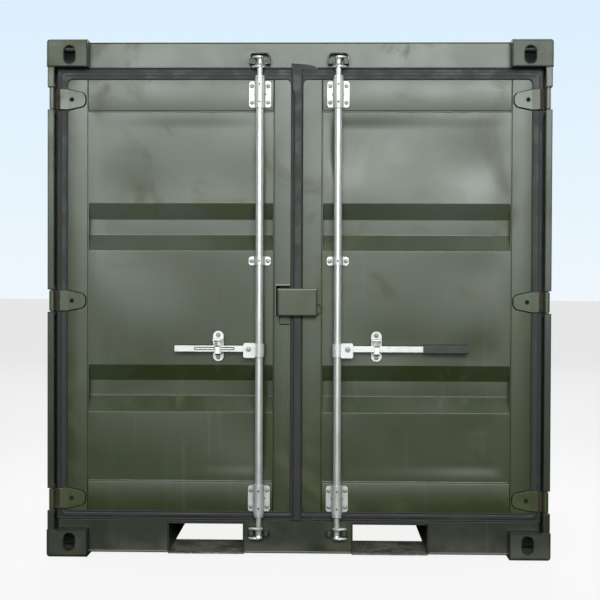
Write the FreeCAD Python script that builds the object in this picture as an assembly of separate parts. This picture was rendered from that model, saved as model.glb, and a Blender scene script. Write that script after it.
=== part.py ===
"""Eight-foot steel shipping container with two cargo doors, in millimetres.

The origin is on the ground under the middle of the container. +Z is up, +X is to the right and
the doors face -Y. "d" below is the distance behind the front face of the corner castings, and
"u" is the distance in from the outer side face of the castings.
"""
import FreeCAD, Part
import os

from FreeCAD import Vector

# ---- overall -------------------------------------------------------------------------------
width = 2200.0
length = 2438.0
height = 2260.0

# ---- corner castings -----------------------------------------------------------------------
casting_x = 178.0
casting_y = 162.0
casting_z = 118.0
casting_aperture_from_side = 101.5
casting_aperture_from_front = 89.0
casting_slot_length = 124.5
casting_slot_width = 63.5
casting_aperture_height = 79.5
casting_aperture_width = 51.0
casting_slot_wall = 28.5
casting_inner_wall = 10.0
casting_side_wall = 16.0
casting_corner_radius = 14.0

# ---- sheet and section thicknesses ---------------------------------------------------------
wall_sheet = 2.0
roof_sheet = 2.0
door_sheet = 2.0
rail_plate = 5.0
post_plate = 8.0
floor_thickness = 28.0

# ---- end frame with the doors --------------------------------------------------------------
frame_face_lead = 2.0
post_inset = 5.0
post_lip_width = 29.0
post_lip_thickness = 10.0
post_box_width = 47.0
post_box_plate = 5.0
door_stop_depth = 112.0
door_stop_height = 30.0
header_top_gap = 6.0
sill_bottom_gap = 14.0
sill_top = 158.0
sill_lip = 6.0
sill_rail_end_gap = 8.0

# ---- rear frame, rails, walls and roof -----------------------------------------------------
rail_inset = 8.0
top_rail_size = 60.0
top_rail_wall = 3.0
top_rail_drop = 10.0
bottom_rail_flange = 52.0
rear_post_plate = 6.0
rear_rail_depth = 52.0
wall_inset = 12.0
wall_corrugation_depth = 36.0
wall_outer_flat = 72.0
wall_slope = 68.0
wall_inner_flat = 70.0
roof_corrugation_depth = 20.0
roof_flat = 91.0
roof_slope = 13.0
roof_groove = 91.0
floor_clearance = 4.0
floor_bottom = 148.0

# ---- fork pockets and cross members --------------------------------------------------------
pocket_centre = 405.0
pocket_width = 326.0
pocket_ceiling = 141.0
pocket_plate = 5.0
pocket_strap_depth = 250.0
pocket_strap_bottom = 8.0
pocket_strap_thickness = 6.0
cross_member_height = 100.0
cross_member_flange = 45.0
cross_member_plate = 4.5
cross_member_count = 7

# ---- doors ---------------------------------------------------------------------------------
door_thickness = 50.0
door_side_gap = 38.0
door_top_gap = 38.0
door_bottom_gap = 28.0
door_split = -9.0
door_split_half_gap = 13.0
door_outer_tube = 100.0
door_left_inner_tube = 89.0
door_right_inner_tube = 99.0
door_top_rail = 149.0
door_bottom_rail = 142.0
panel_set_back = 5.0
panel_groove_depth = 36.0
panel_groove_slope = 70.0
panel_groove_floor = 68.0
panel_groove_drop = 507.0
panel_groove_rise = 408.0

# ---- door gasket ---------------------------------------------------------------------------
gasket_clearance = 0.3
gasket_lip_thickness = 3.7
gasket_lip_overlap = 12.0
gasket_left_overlap = 2.0
gasket_frame_gap = 2.0
gasket_body = 28.0
gasket_rear_lip = 6.0
gasket_stop_gap = 4.0
gasket_seam_gap = 6.0
gasket_flap_thickness = 4.0
gasket_flap_clearance = 2.0

# ---- hinges --------------------------------------------------------------------------------
hinge_from_side = 22.0
hinge_depth = 18.0
hinge_rise = 67.0
hinge_drop = 100.0
hinge_middle_shift = -6.5
hinge_pin_radius = 8.0
hinge_pin_clearance = 0.5
hinge_knuckle_radius = 12.0
hinge_blade_height = 87.0
hinge_blade_tip_height = 60.0
hinge_blade_thickness = 12.0
hinge_blade_end = 162.0
hinge_crank_start = 54.0
hinge_crank_end = 87.0
hinge_arm_depth = 34.0
hinge_head_depth = 30.0
hinge_notch_clearance = 5.0
hinge_notch_depth = 70.0
hinge_lug_thickness = 16.0
hinge_lug_depth = 40.0
hinge_pin_head = 4.0
hinge_lip_space = 5.5
hinge_bend_relief = 1.0
hinge_tip_run = 12.0
hinge_tip_fall = 16.0

# ---- locking bars --------------------------------------------------------------------------
bar_offset = 171.0
bar_front_gap = 2.0
sleeve_seat_gap = 6.0
bar_radius = 17.0
bar_neck_step = 5.0
bar_clearance = 0.5
bar_collar_step = 4.0
bar_collar_height = 13.0
bar_collar_gap = 1.0
upper_bracket_drop = 77.0
middle_bracket_drop = 45.0
lower_bracket_rise = 70.0
bracket_width = 96.0
bracket_tall = 114.0
bracket_short = 38.0
bracket_plate = 8.0
bracket_sleeve_wall = 5.5
bracket_sleeve_extra = 7.0
bracket_corner = 12.0
bracket_notch_radius = 4.0
sleeve_hole_radius = 4.0
sleeve_hole_spacing = 76.0

# ---- cams and keepers ----------------------------------------------------------------------
cam_hub_wall = 2.0
cam_plate = 10.0
cam_gap = 5.0
cam_lobe_inset = 2.0
cam_lobe_radius = 9.0
keeper_lug_height = 22.0
keeper_hub_gap = 8.0
keeper_lug_width = 24.0
keeper_lug_lead = 11.0
keeper_tip_inner = 4.0
keeper_tip_outer = 8.0
keeper_hood_set_back = 2.0
keeper_hood = 9.0
keeper_lug_root = 8.0
keeper_cheek = 6.0
keeper_drop = 49.0
sill_cam_drop = 26.0

# ---- handles, hubs and catches -------------------------------------------------------------
handle_height = 915.0
hub_height = 908.0
hub_overlap = 2.0
hub_far = 68.0
hub_tall = 64.0
hub_ahead = 16.0
hub_behind = 20.0
hub_web = 10.0
hub_corner = 8.0
hub_clamp_wall = 5.0
hub_clamp_inset = 4.0
handle_pivot = 45.0
handle_bolt_radius = 6.0
handle_bolt_clearance = 0.4
handle_thickness = 10.0
handle_tall = 26.0
handle_end_radius = 4.0
handle_slot_clearance = 1.0
rib_from_pivot = 62.0
rib_length = 178.0
rib_outer_tall = 14.0
rib_inner_tall = 6.0
rib_depth = 1.5
left_handle_length = 325.0
right_bare_length = 328.0
grip_length = 196.0
grip_tall = 40.0
grip_thickness = 18.0
left_catch_offset = 181.0
right_catch_offset = 171.0
retainer_width = 46.0
retainer_tall = 132.0
retainer_plate = 6.0
retainer_rise = 10.0
retainer_shelf_tall = 8.0
retainer_shelf_gap = 2.0
retainer_shelf_lead = 1.0
retainer_end_flat = 2.0
retainer_slot_width = 25.0
retainer_slot_tall = 6.0
retainer_slot_gap = 1.0
retainer_ear = 5.0
catch_pivot_rise = 38.0
catch_pivot_lead = 7.0
catch_pin_radius = 3.0
catch_pin_clearance = 0.4
catch_knuckle_radius = 5.0
catch_width = 28.0
catch_plate = 4.0
catch_drop = 60.0
catch_side_clearance = 1.5

# ---- lock box and staple -------------------------------------------------------------------
lock_box_left = -92.0
lock_box_right = 82.0
lock_box_bottom = 1057.0
lock_box_top = 1179.0
lock_box_depth = 8.0
lock_box_wall = 4.0
lock_box_bevel = 6.0
lock_box_rear_gap = 8.0
lock_box_gasket_gap = 2.0
lock_box_front_extra = 2.0
staple_plate = 8.0
staple_bottom = 1022.0
staple_top = 1198.0
staple_upper_width = 66.0
staple_lower_width = 48.0
staple_eye_radius = 20.0
staple_eye_hole = 9.0
staple_eye_thickness = 10.0
staple_hole_lead = 3.0
staple_corner = 5.0
staple_seam_gap = 14.0

# ---- worked out ----------------------------------------------------------------------------
half_width = width / 2
front = -length / 2
rear = length / 2
inner_x = half_width - casting_x
inner_y = length / 2 - casting_y
opening_bottom = sill_top
opening_top = height - casting_z
lip_edge = half_width - post_inset - post_lip_width
post_inner = half_width - post_inset - post_plate - post_box_width
door_outer = lip_edge - door_side_gap
door_top = opening_top - door_top_gap
door_bottom = opening_bottom + door_bottom_gap
door_left_edge = door_split - door_split_half_gap
door_right_edge = door_split + door_split_half_gap
hinge_x = half_width - hinge_from_side
rail_top = height - top_rail_drop
rail_bottom = rail_top - top_rail_size
wall_bottom = floor_bottom
floor_top = floor_bottom + floor_thickness
pocket_inner = pocket_centre - pocket_width / 2
pocket_outer = pocket_centre + pocket_width / 2
panel_top = door_top - door_top_rail
panel_bottom = door_bottom + door_bottom_rail
panel_groove_heights = (panel_top - panel_groove_drop, panel_bottom + panel_groove_rise)
panel_groove_half = panel_groove_floor / 2 + panel_groove_slope
hinge_low = door_bottom + hinge_rise
hinge_high = door_top - hinge_drop
hinge_heights = (hinge_low, (hinge_low + hinge_high) / 2 + hinge_middle_shift, hinge_high)
bar_neck_radius = bar_radius - bar_neck_step
bar_collar_radius = bar_radius + bar_collar_step
bracket_sleeve_radius = bar_radius + bar_clearance + bracket_sleeve_wall
bar_depth = bar_front_gap + bracket_sleeve_radius
door_face_depth = bar_depth + bracket_sleeve_radius + sleeve_seat_gap
frame_face_depth = door_face_depth - frame_face_lead
frame_back_depth = casting_y
upper_bracket_height = door_top - upper_bracket_drop
middle_bracket_height = panel_groove_heights[0] - panel_groove_half - middle_bracket_drop
lower_bracket_height = door_bottom + lower_bracket_rise
cam_hub_radius = bar_neck_radius + cam_hub_wall
keeper_lug_inner = cam_hub_radius + keeper_hub_gap
keeper_lug_outer = keeper_lug_inner + keeper_lug_width
keeper_lug_front = bar_depth - keeper_lug_lead
keeper_top_edge = height - header_top_gap - keeper_drop
sill_cam_top = sill_top - sill_cam_drop
handle_front_depth = bar_depth - handle_thickness / 2
catch_pivot_depth = handle_front_depth - catch_pivot_lead

# How far a cutting shape runs past what it cuts, and how near counts as the same place.
past = 1.0
same_place = 0.1
parallel = 0.999

os.makedirs("parts", exist_ok=True)


# ---- small tools ---------------------------------------------------------------------------
def block(x0, x1, y0, y1, z0, z1):
    """A box between two corners."""
    low = Vector(min(x0, x1), min(y0, y1), min(z0, z1))
    return Part.makeBox(abs(x1 - x0), abs(y1 - y0), abs(z1 - z0), low)


def deep(x0, x1, d0, d1, z0, z1):
    """A box whose depth is measured back from the front face of the castings."""
    return block(x0, x1, front + d0, front + d1, z0, z1)


def prism(points, direction):
    """A closed outline of points, pushed along a direction."""
    outline = Part.makePolygon(points + [points[0]])
    return Part.Face(outline).extrude(direction)


def upright(points_xd, z0, z1):
    """An outline in plan, given as (x, d), between two heights."""
    points = [Vector(x, front + d, z0) for x, d in points_xd]
    return prism(points, Vector(0, 0, z1 - z0))


def facing(points_xz, d0, d1):
    """An outline seen from the front, given as (x, z), between two depths."""
    points = [Vector(x, front + d0, z) for x, z in points_xz]
    return prism(points, Vector(0, d1 - d0, 0))


def rod(x, d, z0, z1, radius):
    """An upright cylinder."""
    return Part.makeCylinder(radius, z1 - z0, Vector(x, front + d, z0), Vector(0, 0, 1))


def rod_through(x, z, d0, d1, radius):
    """A cylinder that runs front to back."""
    return Part.makeCylinder(radius, d1 - d0, Vector(x, front + d0, z), Vector(0, 1, 0))


def rod_across(x0, x1, d, z, radius):
    """A cylinder that runs left to right."""
    return Part.makeCylinder(radius, x1 - x0, Vector(x0, front + d, z), Vector(1, 0, 0))


def fuse(shapes):
    """One clean solid from several that touch."""
    whole = shapes[0]
    if len(shapes) > 1:
        whole = shapes[0].fuse(shapes[1:])
    return whole.removeSplitter()


def mirror_x(shape):
    return shape.mirror(Vector(0, 0, 0), Vector(1, 0, 0))


def mirror_y(shape):
    return shape.mirror(Vector(0, 0, 0), Vector(0, 1, 0))


def mirror_z(shape, level):
    return shape.mirror(Vector(0, 0, level), Vector(0, 0, 1))


def round_edges(shape, radius, wanted):
    """Fillet the edges that the test picks."""
    edges = [edge for edge in shape.Edges if wanted(edge)]
    return shape.makeFillet(radius, edges)


def along(edge, axis):
    """Whether a straight edge runs along an axis given as 0, 1 or 2."""
    if edge.Curve.TypeId != "Part::GeomLine":
        return False
    direction = edge.tangentAt(edge.FirstParameter)
    return abs((direction.x, direction.y, direction.z)[axis]) > parallel


def save(name, solids):
    """Write the solids of one node to its STEP file."""
    flat = []
    for shape in solids:
        flat.extend(shape.Solids)
    shape = flat[0] if len(flat) == 1 else Part.makeCompound(flat)
    shape.exportStep("parts/" + name + ".step")


# ---- corner castings -----------------------------------------------------------------------
def stadium(centre, run, push, long_size, short_size):
    """A slot with round ends: long along "run", cut along "push" from its centre."""
    half = (long_size - short_size) / 2
    radius = short_size / 2
    ends = [
        Part.makeCylinder(radius, push.Length, centre + run * half, push),
        Part.makeCylinder(radius, push.Length, centre - run * half, push),
    ]
    side = push.cross(run)
    side.normalize()
    corners = [
        centre + run * half + side * radius,
        centre - run * half + side * radius,
        centre - run * half - side * radius,
        centre + run * half - side * radius,
    ]
    return fuse(ends + [prism(corners, push)])


def corner_casting():
    """The lower front right casting, whose slots open down, forward and to the right."""
    x0 = half_width - casting_x
    y1 = front + casting_y
    body = block(x0, half_width, front, y1, 0, casting_z)

    def outer_edge(edge):
        middle = edge.CenterOfMass
        on_side = abs(middle.x - half_width) < same_place
        on_front = abs(middle.y - front) < same_place
        on_base = abs(middle.z) < same_place
        return (on_side + on_front + on_base) == 2

    body = round_edges(body, casting_corner_radius, outer_edge)
    cavity = block(
        x0 + casting_inner_wall, half_width - casting_side_wall,
        front + casting_side_wall, y1 - casting_inner_wall,
        casting_slot_wall, casting_z - casting_inner_wall,
    )
    slot_x = half_width - casting_aperture_from_side
    slot_y = front + casting_aperture_from_front
    aperture_z = casting_slot_wall + casting_aperture_height / 2
    base_slot = stadium(
        Vector(slot_x, slot_y, -past), Vector(1, 0, 0),
        Vector(0, 0, casting_slot_wall + 2 * past),
        casting_slot_length, casting_slot_width,
    )
    front_slot = stadium(
        Vector(slot_x, front - past, aperture_z), Vector(0, 0, 1),
        Vector(0, casting_side_wall + 2 * past, 0), casting_aperture_height, casting_aperture_width,
    )
    side_slot = stadium(
        Vector(half_width + past, slot_y, aperture_z), Vector(0, 0, 1),
        Vector(-casting_side_wall - 2 * past, 0, 0), casting_aperture_height, casting_aperture_width,
    )
    return body.cut([cavity, base_slot, front_slot, side_slot])


def corner_castings():
    one = corner_casting()
    pair = [one, mirror_x(one)]
    lower = pair + [mirror_y(shape) for shape in pair]
    upper = [mirror_z(shape, height / 2) for shape in lower]
    save("corner_castings_bottom", lower)
    save("corner_castings_top", upper)


# ---- end frame -----------------------------------------------------------------------------
def front_post():
    """The right post: a bent outer section with a lip, and a box section behind the door."""
    outer = half_width - post_inset
    wall_in = outer - post_plate
    section = [
        (outer, post_inset), (lip_edge, post_inset), (lip_edge, post_inset + post_lip_thickness),
        (wall_in, post_inset + post_lip_thickness), (wall_in, casting_y), (outer, casting_y),
    ]
    shell = upright(section, casting_z, opening_top)
    box = deep(wall_in, post_inner, door_stop_depth, casting_y, casting_z, opening_top)
    hollow = deep(
        wall_in, post_inner + post_box_plate, door_stop_depth + post_box_plate,
        casting_y - post_box_plate, casting_z, opening_top,
    )
    post = fuse([shell, box.cut(hollow)])
    half_notch = hinge_blade_height / 2 + hinge_notch_clearance
    notches = [
        deep(lip_edge - past, half_width, -past, hinge_notch_depth, z - half_notch, z + half_notch)
        for z in hinge_heights
    ]
    return post.cut(notches)


def hinge_lug_pair(z):
    """Two lugs in the post, with the hinge pin fixed in both."""
    outer = half_width - post_inset - post_plate
    half_notch = hinge_blade_height / 2 + hinge_notch_clearance
    lug_front = post_inset + post_lip_thickness
    pieces = []
    for side in (-1, 1):
        z0 = z + side * half_notch
        z1 = z0 + side * hinge_lug_thickness
        pieces.append(deep(outer, lip_edge, lug_front, hinge_lug_depth, z0, z1))
    reach = half_notch + hinge_lug_thickness + hinge_pin_head
    pieces.append(rod(hinge_x, hinge_depth, z - reach, z + reach, hinge_pin_radius))
    post_material = front_post()
    return fuse(pieces).cut(post_material)


def rear_post():
    """The rear right post, an angle section."""
    side = half_width - rail_inset
    back = rear - rail_inset
    side_leg = block(
        side - rear_post_plate, side, inner_y, back, casting_z, opening_top)
    back_leg = block(
        inner_x, side, back - rear_post_plate, back, casting_z, opening_top)
    return fuse([side_leg, back_leg])


def door_header():
    """A box section between the top castings, with the door stop hanging below it."""
    top = height - header_top_gap
    section = deep(
        -inner_x, inner_x, frame_face_depth, frame_back_depth, opening_top, top)
    hollow = deep(
        -inner_x, inner_x, frame_face_depth + rail_plate,
        frame_back_depth - rail_plate, opening_top + rail_plate,
        top - rail_plate)
    stop = deep(
        -post_inner, post_inner, door_stop_depth, door_stop_depth + rail_plate,
        opening_top - door_stop_height, opening_top)
    save("door_header", [fuse([section.cut(hollow), stop])])


def door_sill():
    """The threshold rail over the bottom castings, with the front plate below it."""
    rail_end = lip_edge - sill_rail_end_gap
    back = frame_back_depth
    top_plate = deep(
        -rail_end, rail_end, frame_face_depth, door_stop_depth,
        sill_top - rail_plate, sill_top)
    rear_plate = deep(
        -post_inner, post_inner, door_stop_depth, back, sill_top - rail_plate, sill_top)
    rail_front = deep(
        -rail_end, rail_end, frame_face_depth, frame_face_depth + rail_plate,
        casting_z, sill_top)
    lower_front = deep(
        -inner_x, inner_x, frame_face_depth, frame_face_depth + rail_plate,
        sill_bottom_gap, casting_z)
    lip = deep(
        -inner_x, inner_x, frame_face_depth - sill_lip, back,
        sill_bottom_gap, sill_bottom_gap + rail_plate)
    stop = deep(
        -post_inner, post_inner, door_stop_depth, door_stop_depth + rail_plate,
        sill_top - rail_plate, floor_top)
    sill = fuse([top_plate, rear_plate, rail_front, lower_front, lip, stop])
    save("door_sill", [sill.cut(pocket_cutters(frame_face_depth - sill_lip - past, back + past))])


def pocket_cutters(d0, d1):
    """The space that both fork pockets take from a cross rail, with their plates."""
    reach = pocket_plate
    return [
        deep(
            side * (pocket_inner - reach), side * (pocket_outer + reach), d0, d1,
            0, pocket_ceiling + pocket_plate)
        for side in (-1, 1)
    ]


def fork_pockets():
    """Two pockets right through the floor: side plates, a ceiling and a strap at each end."""
    d0 = frame_face_depth
    d1 = length - rail_inset
    ceiling = pocket_ceiling + pocket_plate
    base = sill_bottom_gap
    sides = [
        deep(pocket_inner - pocket_plate, pocket_inner, d0, d1, base, ceiling),
        deep(pocket_outer, pocket_outer + pocket_plate, d0, d1, base, ceiling),
    ]
    ceilings = [deep(pocket_inner, pocket_outer, d0, d1, pocket_ceiling, ceiling)]
    strap_top = pocket_strap_bottom + pocket_strap_thickness
    straps = [
        deep(
            pocket_inner - pocket_plate, pocket_outer + pocket_plate,
            start, start + pocket_strap_depth, pocket_strap_bottom, strap_top)
        for start in (d0, d1 - pocket_strap_depth)
    ]
    parts = (("sides", sides), ("ceilings", ceilings), ("straps", straps))
    for part_name, solids in parts:
        both = solids + [mirror_x(solid) for solid in solids]
        save("fork_pocket_" + part_name, both)


# ---- rails, walls, roof and floor ----------------------------------------------------------
def square_tube(x0, x1, y0, y1, z0, z1, wall, axis):
    """A hollow square section along X (0) or Y (1)."""
    outer = block(x0, x1, y0, y1, z0, z1)
    if axis == 0:
        inner = block(x0, x1, y0 + wall, y1 - wall, z0 + wall, z1 - wall)
    else:
        inner = block(x0 + wall, x1 - wall, y0, y1, z0 + wall, z1 - wall)
    return outer.cut(inner)


def top_rails():
    """Square tubes along the sides and across the rear, between the castings."""
    outer = half_width - rail_inset
    back = rear - rail_inset
    side = square_tube(
        outer - top_rail_size, outer, -inner_y, inner_y, rail_bottom, rail_top,
        top_rail_wall, 1)
    across = square_tube(
        -inner_x, inner_x, back - top_rail_size, back, rail_bottom, rail_top,
        top_rail_wall, 0)
    save("top_rails", [side, mirror_x(side), across])


def bottom_side_rails():
    outer = half_width - rail_inset
    web = block(
        outer - rail_plate, outer, -inner_y, inner_y, sill_bottom_gap, wall_bottom)
    upper = block(
        outer - bottom_rail_flange, outer, -inner_y, inner_y,
        wall_bottom - rail_plate, wall_bottom)
    lower = block(
        outer - bottom_rail_flange, outer, -inner_y, inner_y,
        sill_bottom_gap, sill_bottom_gap + rail_plate)
    bottom = fuse([web, upper, lower])
    save("bottom_side_rails", [bottom, mirror_x(bottom)])


def rear_bottom_rail():
    back = rear - rail_inset
    web = block(-inner_x, inner_x, back - rail_plate, back, sill_bottom_gap, wall_bottom)
    upper = block(
        -inner_x, inner_x, back - rear_rail_depth, back,
        wall_bottom - rail_plate, wall_bottom)
    lower = block(
        -inner_x, inner_x, back - rear_rail_depth, back,
        sill_bottom_gap, sill_bottom_gap + rail_plate)
    bottom = fuse([web, upper, lower]).cut(
        pocket_cutters(length - rail_inset - rear_rail_depth - past, length))
    save("rear_bottom_rail", [bottom])


def wave(start, end, flat, slope, groove, depth):
    """Points (along, depth) of one face of a corrugated sheet, centred between its ends."""
    pitch = flat + groove + 2 * slope
    count = int((end - start - flat) // pitch)
    margin = (end - start - count * pitch - flat) / 2
    points = [(start, 0.0)]
    position = start + margin + flat
    for _ in range(count):
        points.append((position, 0.0))
        points.append((position + slope, depth))
        points.append((position + slope + groove, depth))
        points.append((position + 2 * slope + groove, 0.0))
        position += pitch
    points.append((end, 0.0))
    return points


def sheet_outline(face, thickness):
    """Close a corrugated face into the section of a sheet of even depth."""
    back = [(position, depth + thickness) for position, depth in reversed(face)]
    return face + back


def side_wall():
    """The right side wall, with upright corrugations."""
    outer = half_width - wall_inset
    face = wave(
        -inner_y, inner_y, wall_outer_flat, wall_slope, wall_inner_flat,
        wall_corrugation_depth)
    outline = sheet_outline(face, wall_sheet)
    points = [Vector(outer - depth, y, wall_bottom) for y, depth in outline]
    return prism(points, Vector(0, 0, rail_bottom - wall_bottom))


def rear_wall():
    outer = rear - wall_inset
    face = wave(
        -inner_x, inner_x, wall_outer_flat, wall_slope, wall_inner_flat,
        wall_corrugation_depth)
    outline = sheet_outline(face, wall_sheet)
    points = [Vector(x, outer - depth, wall_bottom) for x, depth in outline]
    return prism(points, Vector(0, 0, rail_bottom - wall_bottom))


def roof_panel():
    """A roof sheet with shallow grooves across it, and the flat plate at its rear end."""
    side = half_width - rail_inset - top_rail_size
    face = wave(-inner_y, inner_y, roof_flat, roof_slope, roof_groove, roof_corrugation_depth)
    outline = sheet_outline(face, roof_sheet)
    points = [Vector(-side, y, rail_top - depth) for y, depth in outline]
    sheet = prism(points, Vector(2 * side, 0, 0))
    back = rear - rail_inset - top_rail_size
    plate = block(-inner_x, inner_x, inner_y, back, rail_top - roof_sheet, rail_top)
    return fuse([sheet, plate])


def floor_boards():
    side = half_width - wall_inset - wall_corrugation_depth - wall_sheet - floor_clearance
    back = rear - wall_inset - wall_corrugation_depth - wall_sheet - floor_clearance
    main = block(-side, side, -inner_y, back, floor_bottom, floor_top)
    tongue_front = front + door_stop_depth + rail_plate
    tongue = block(-post_inner, post_inner, tongue_front, -inner_y, floor_bottom, floor_top)
    sill_plate = deep(
        -half_width, half_width, 0, frame_back_depth, 0, sill_top)
    return fuse([main, tongue]).cut(sill_plate)


def cross_members():
    """Channels under the floor, from rail to fork pocket and between the pockets."""
    rail_in = half_width - rail_inset - rail_plate
    spans = [
        (-rail_in, -pocket_outer - pocket_plate),
        (-pocket_inner + pocket_plate, pocket_inner - pocket_plate),
        (pocket_outer + pocket_plate, rail_in),
    ]
    z1 = floor_bottom - rail_plate
    z0 = z1 - cross_member_height
    first = front + casting_y + cross_member_flange
    last = rear - casting_y - 2 * cross_member_flange
    step = (last - first) / (cross_member_count - 1)
    channels = []
    for index in range(cross_member_count):
        y = first + index * step
        for x0, x1 in spans:
            web = block(x0, x1, y, y + cross_member_plate, z0, z1)
            upper = block(x0, x1, y, y + cross_member_flange, z1 - cross_member_plate, z1)
            lower = block(x0, x1, y, y + cross_member_flange, z0, z0 + cross_member_plate)
            packing = block(
                max(x0, -rail_in + bottom_rail_flange), min(x1, rail_in - bottom_rail_flange),
                y, y + cross_member_flange, z1, floor_bottom)
            channels.append(fuse([web, upper, lower, packing]))
    return channels


# ---- cam keepers ---------------------------------------------------------------------------
def keeper_lugs(x, z0):
    """Two lugs on the rail's face, one each side of a cam."""
    z1 = z0 + keeper_lug_height
    lugs = []
    for side in (-1, 1):
        outline = [
            (x + side * keeper_lug_inner, keeper_lug_front + keeper_lug_root),
            (x + side * (keeper_lug_inner + keeper_tip_inner), keeper_lug_front),
            (x + side * (keeper_lug_outer - keeper_tip_outer), keeper_lug_front),
            (x + side * keeper_lug_outer, keeper_lug_front + keeper_lug_root),
            (x + side * keeper_lug_outer, frame_face_depth),
            (x + side * keeper_lug_inner, frame_face_depth),
        ]
        lugs.append(upright(outline, z0, z1))
    return lugs


def header_keeper(x):
    """The lugs of an upper cam, joined by a hood over it and a plate behind it."""
    hood = deep(
        x - keeper_lug_outer + keeper_cheek, x + keeper_lug_outer - keeper_cheek,
        keeper_lug_front + keeper_hood_set_back, frame_face_depth,
        keeper_top_edge - keeper_hood, keeper_top_edge)
    lug_base = header_lug_base()
    cheeks = [
        deep(
            x + side * (keeper_lug_outer - keeper_cheek), x + side * keeper_lug_outer,
            keeper_lug_front + keeper_lug_root, frame_face_depth, lug_base, keeper_top_edge)
        for side in (-1, 1)
    ]
    return fuse([hood] + cheeks + keeper_lugs(x, lug_base))


def header_lug_base():
    """The underside of the upper lugs: hood, gap, far cam plate and gap are above them."""
    return keeper_top_edge - keeper_hood - 2 * cam_gap - cam_plate - keeper_lug_height


def sill_lug_base():
    """The underside of the lower lugs: near cam plate and gap are above them."""
    return sill_cam_top - cam_plate - cam_gap - keeper_lug_height


def keepers():
    upper = [header_keeper(side * bar_offset) for side in (-1, 1)]
    save("header_keepers", upper)
    lower = []
    for side in (-1, 1):
        lower.extend(keeper_lugs(side * bar_offset, sill_lug_base()))
    save("sill_keepers", lower)


# ---- doors ---------------------------------------------------------------------------------
def door_edges(side):
    """The outer and the inner upright edge of a door's frame: side is -1 left, 1 right."""
    if side < 0:
        return -door_outer, door_left_edge
    return door_outer, door_right_edge


def panel_edges(side):
    outer, inner = door_edges(side)
    tube = door_left_inner_tube if side < 0 else door_right_inner_tube
    return outer - side * door_outer_tube, inner + side * tube


def door_frame(side):
    outer, inner = door_edges(side)
    panel_outer, panel_inner = panel_edges(side)
    d0 = door_face_depth
    d1 = door_face_depth + door_thickness
    whole = deep(outer, inner, d0, d1, door_bottom, door_top)
    hole = deep(
        panel_outer, panel_inner, d0 - past, d1 + past, panel_bottom, panel_top)
    return whole.cut(hole)


def door_panel(side):
    """A sheet with two wide grooves across it."""
    panel_outer, panel_inner = panel_edges(side)
    face = [(panel_top, 0.0)]
    for centre in panel_groove_heights:
        half_floor = panel_groove_floor / 2
        face.append((centre + panel_groove_half, 0.0))
        face.append((centre + half_floor, panel_groove_depth))
        face.append((centre - half_floor, panel_groove_depth))
        face.append((centre - panel_groove_half, 0.0))
    face.append((panel_bottom, 0.0))
    outline = sheet_outline(face, door_sheet)
    depth0 = front + door_face_depth + panel_set_back
    start = min(panel_outer, panel_inner)
    points = [Vector(start, depth0 + depth, z) for z, depth in outline]
    return prism(points, Vector(abs(panel_outer - panel_inner), 0, 0))


def ring(x0, x1, z0, z1, hole, d0, d1):
    """A rectangular ring between two depths, with the hole given as x0, x1, z0, z1."""
    whole = deep(x0, x1, d0, d1, z0, z1)
    gap = deep(hole[0], hole[1], d0 - past, d1 + past, hole[2], hole[3])
    return whole.cut(gap)


def door_gasket(side):
    """The rubber seal round a door: a front lip, a body and a lip that meets the stop."""
    outer, inner = door_edges(side)
    seam = door_split + side * gasket_seam_gap / 2
    clear = gasket_clearance
    lip_back = door_face_depth - clear
    lip_front = lip_back - gasket_lip_thickness
    overlap = gasket_lip_overlap
    seam_overlap = overlap if side > 0 else gasket_left_overlap
    lip_hole = (
        outer - side * overlap, inner + side * seam_overlap,
        door_bottom + overlap, door_top - overlap)
    body_hole = (
        outer + side * clear, inner - side * clear, door_bottom - clear, door_top + clear)
    lip_outer = side * (lip_edge - gasket_frame_gap)
    lip_bottom = opening_bottom + gasket_frame_gap
    lip_top = opening_top - gasket_frame_gap
    body_bottom = max(lip_bottom, door_bottom - gasket_body)
    body_top = min(lip_top, door_top + gasket_body)
    rear_end = door_stop_depth - gasket_stop_gap
    pieces = [
        ring(lip_outer, seam, lip_bottom, lip_top, lip_hole, lip_front, lip_back),
        ring(
            outer + side * gasket_body, seam, body_bottom, body_top, body_hole,
            lip_front, rear_end),
        ring(
            lip_outer - side * gasket_rear_lip, seam, lip_bottom + gasket_rear_lip / 2,
            lip_top - gasket_rear_lip / 2, body_hole, rear_end - gasket_rear_lip, rear_end),
    ]
    if side > 0:
        flap_back = lip_front - gasket_flap_clearance
        flap_front = flap_back - gasket_flap_thickness
        left_edge = door_left_edge - gasket_left_overlap
        pieces.append(deep(left_edge, lip_hole[1], flap_front, flap_back, lip_bottom, lip_top))
        pieces.append(deep(seam, lip_hole[1], flap_back, lip_front, lip_bottom, lip_top))
    return fuse(pieces)


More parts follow.
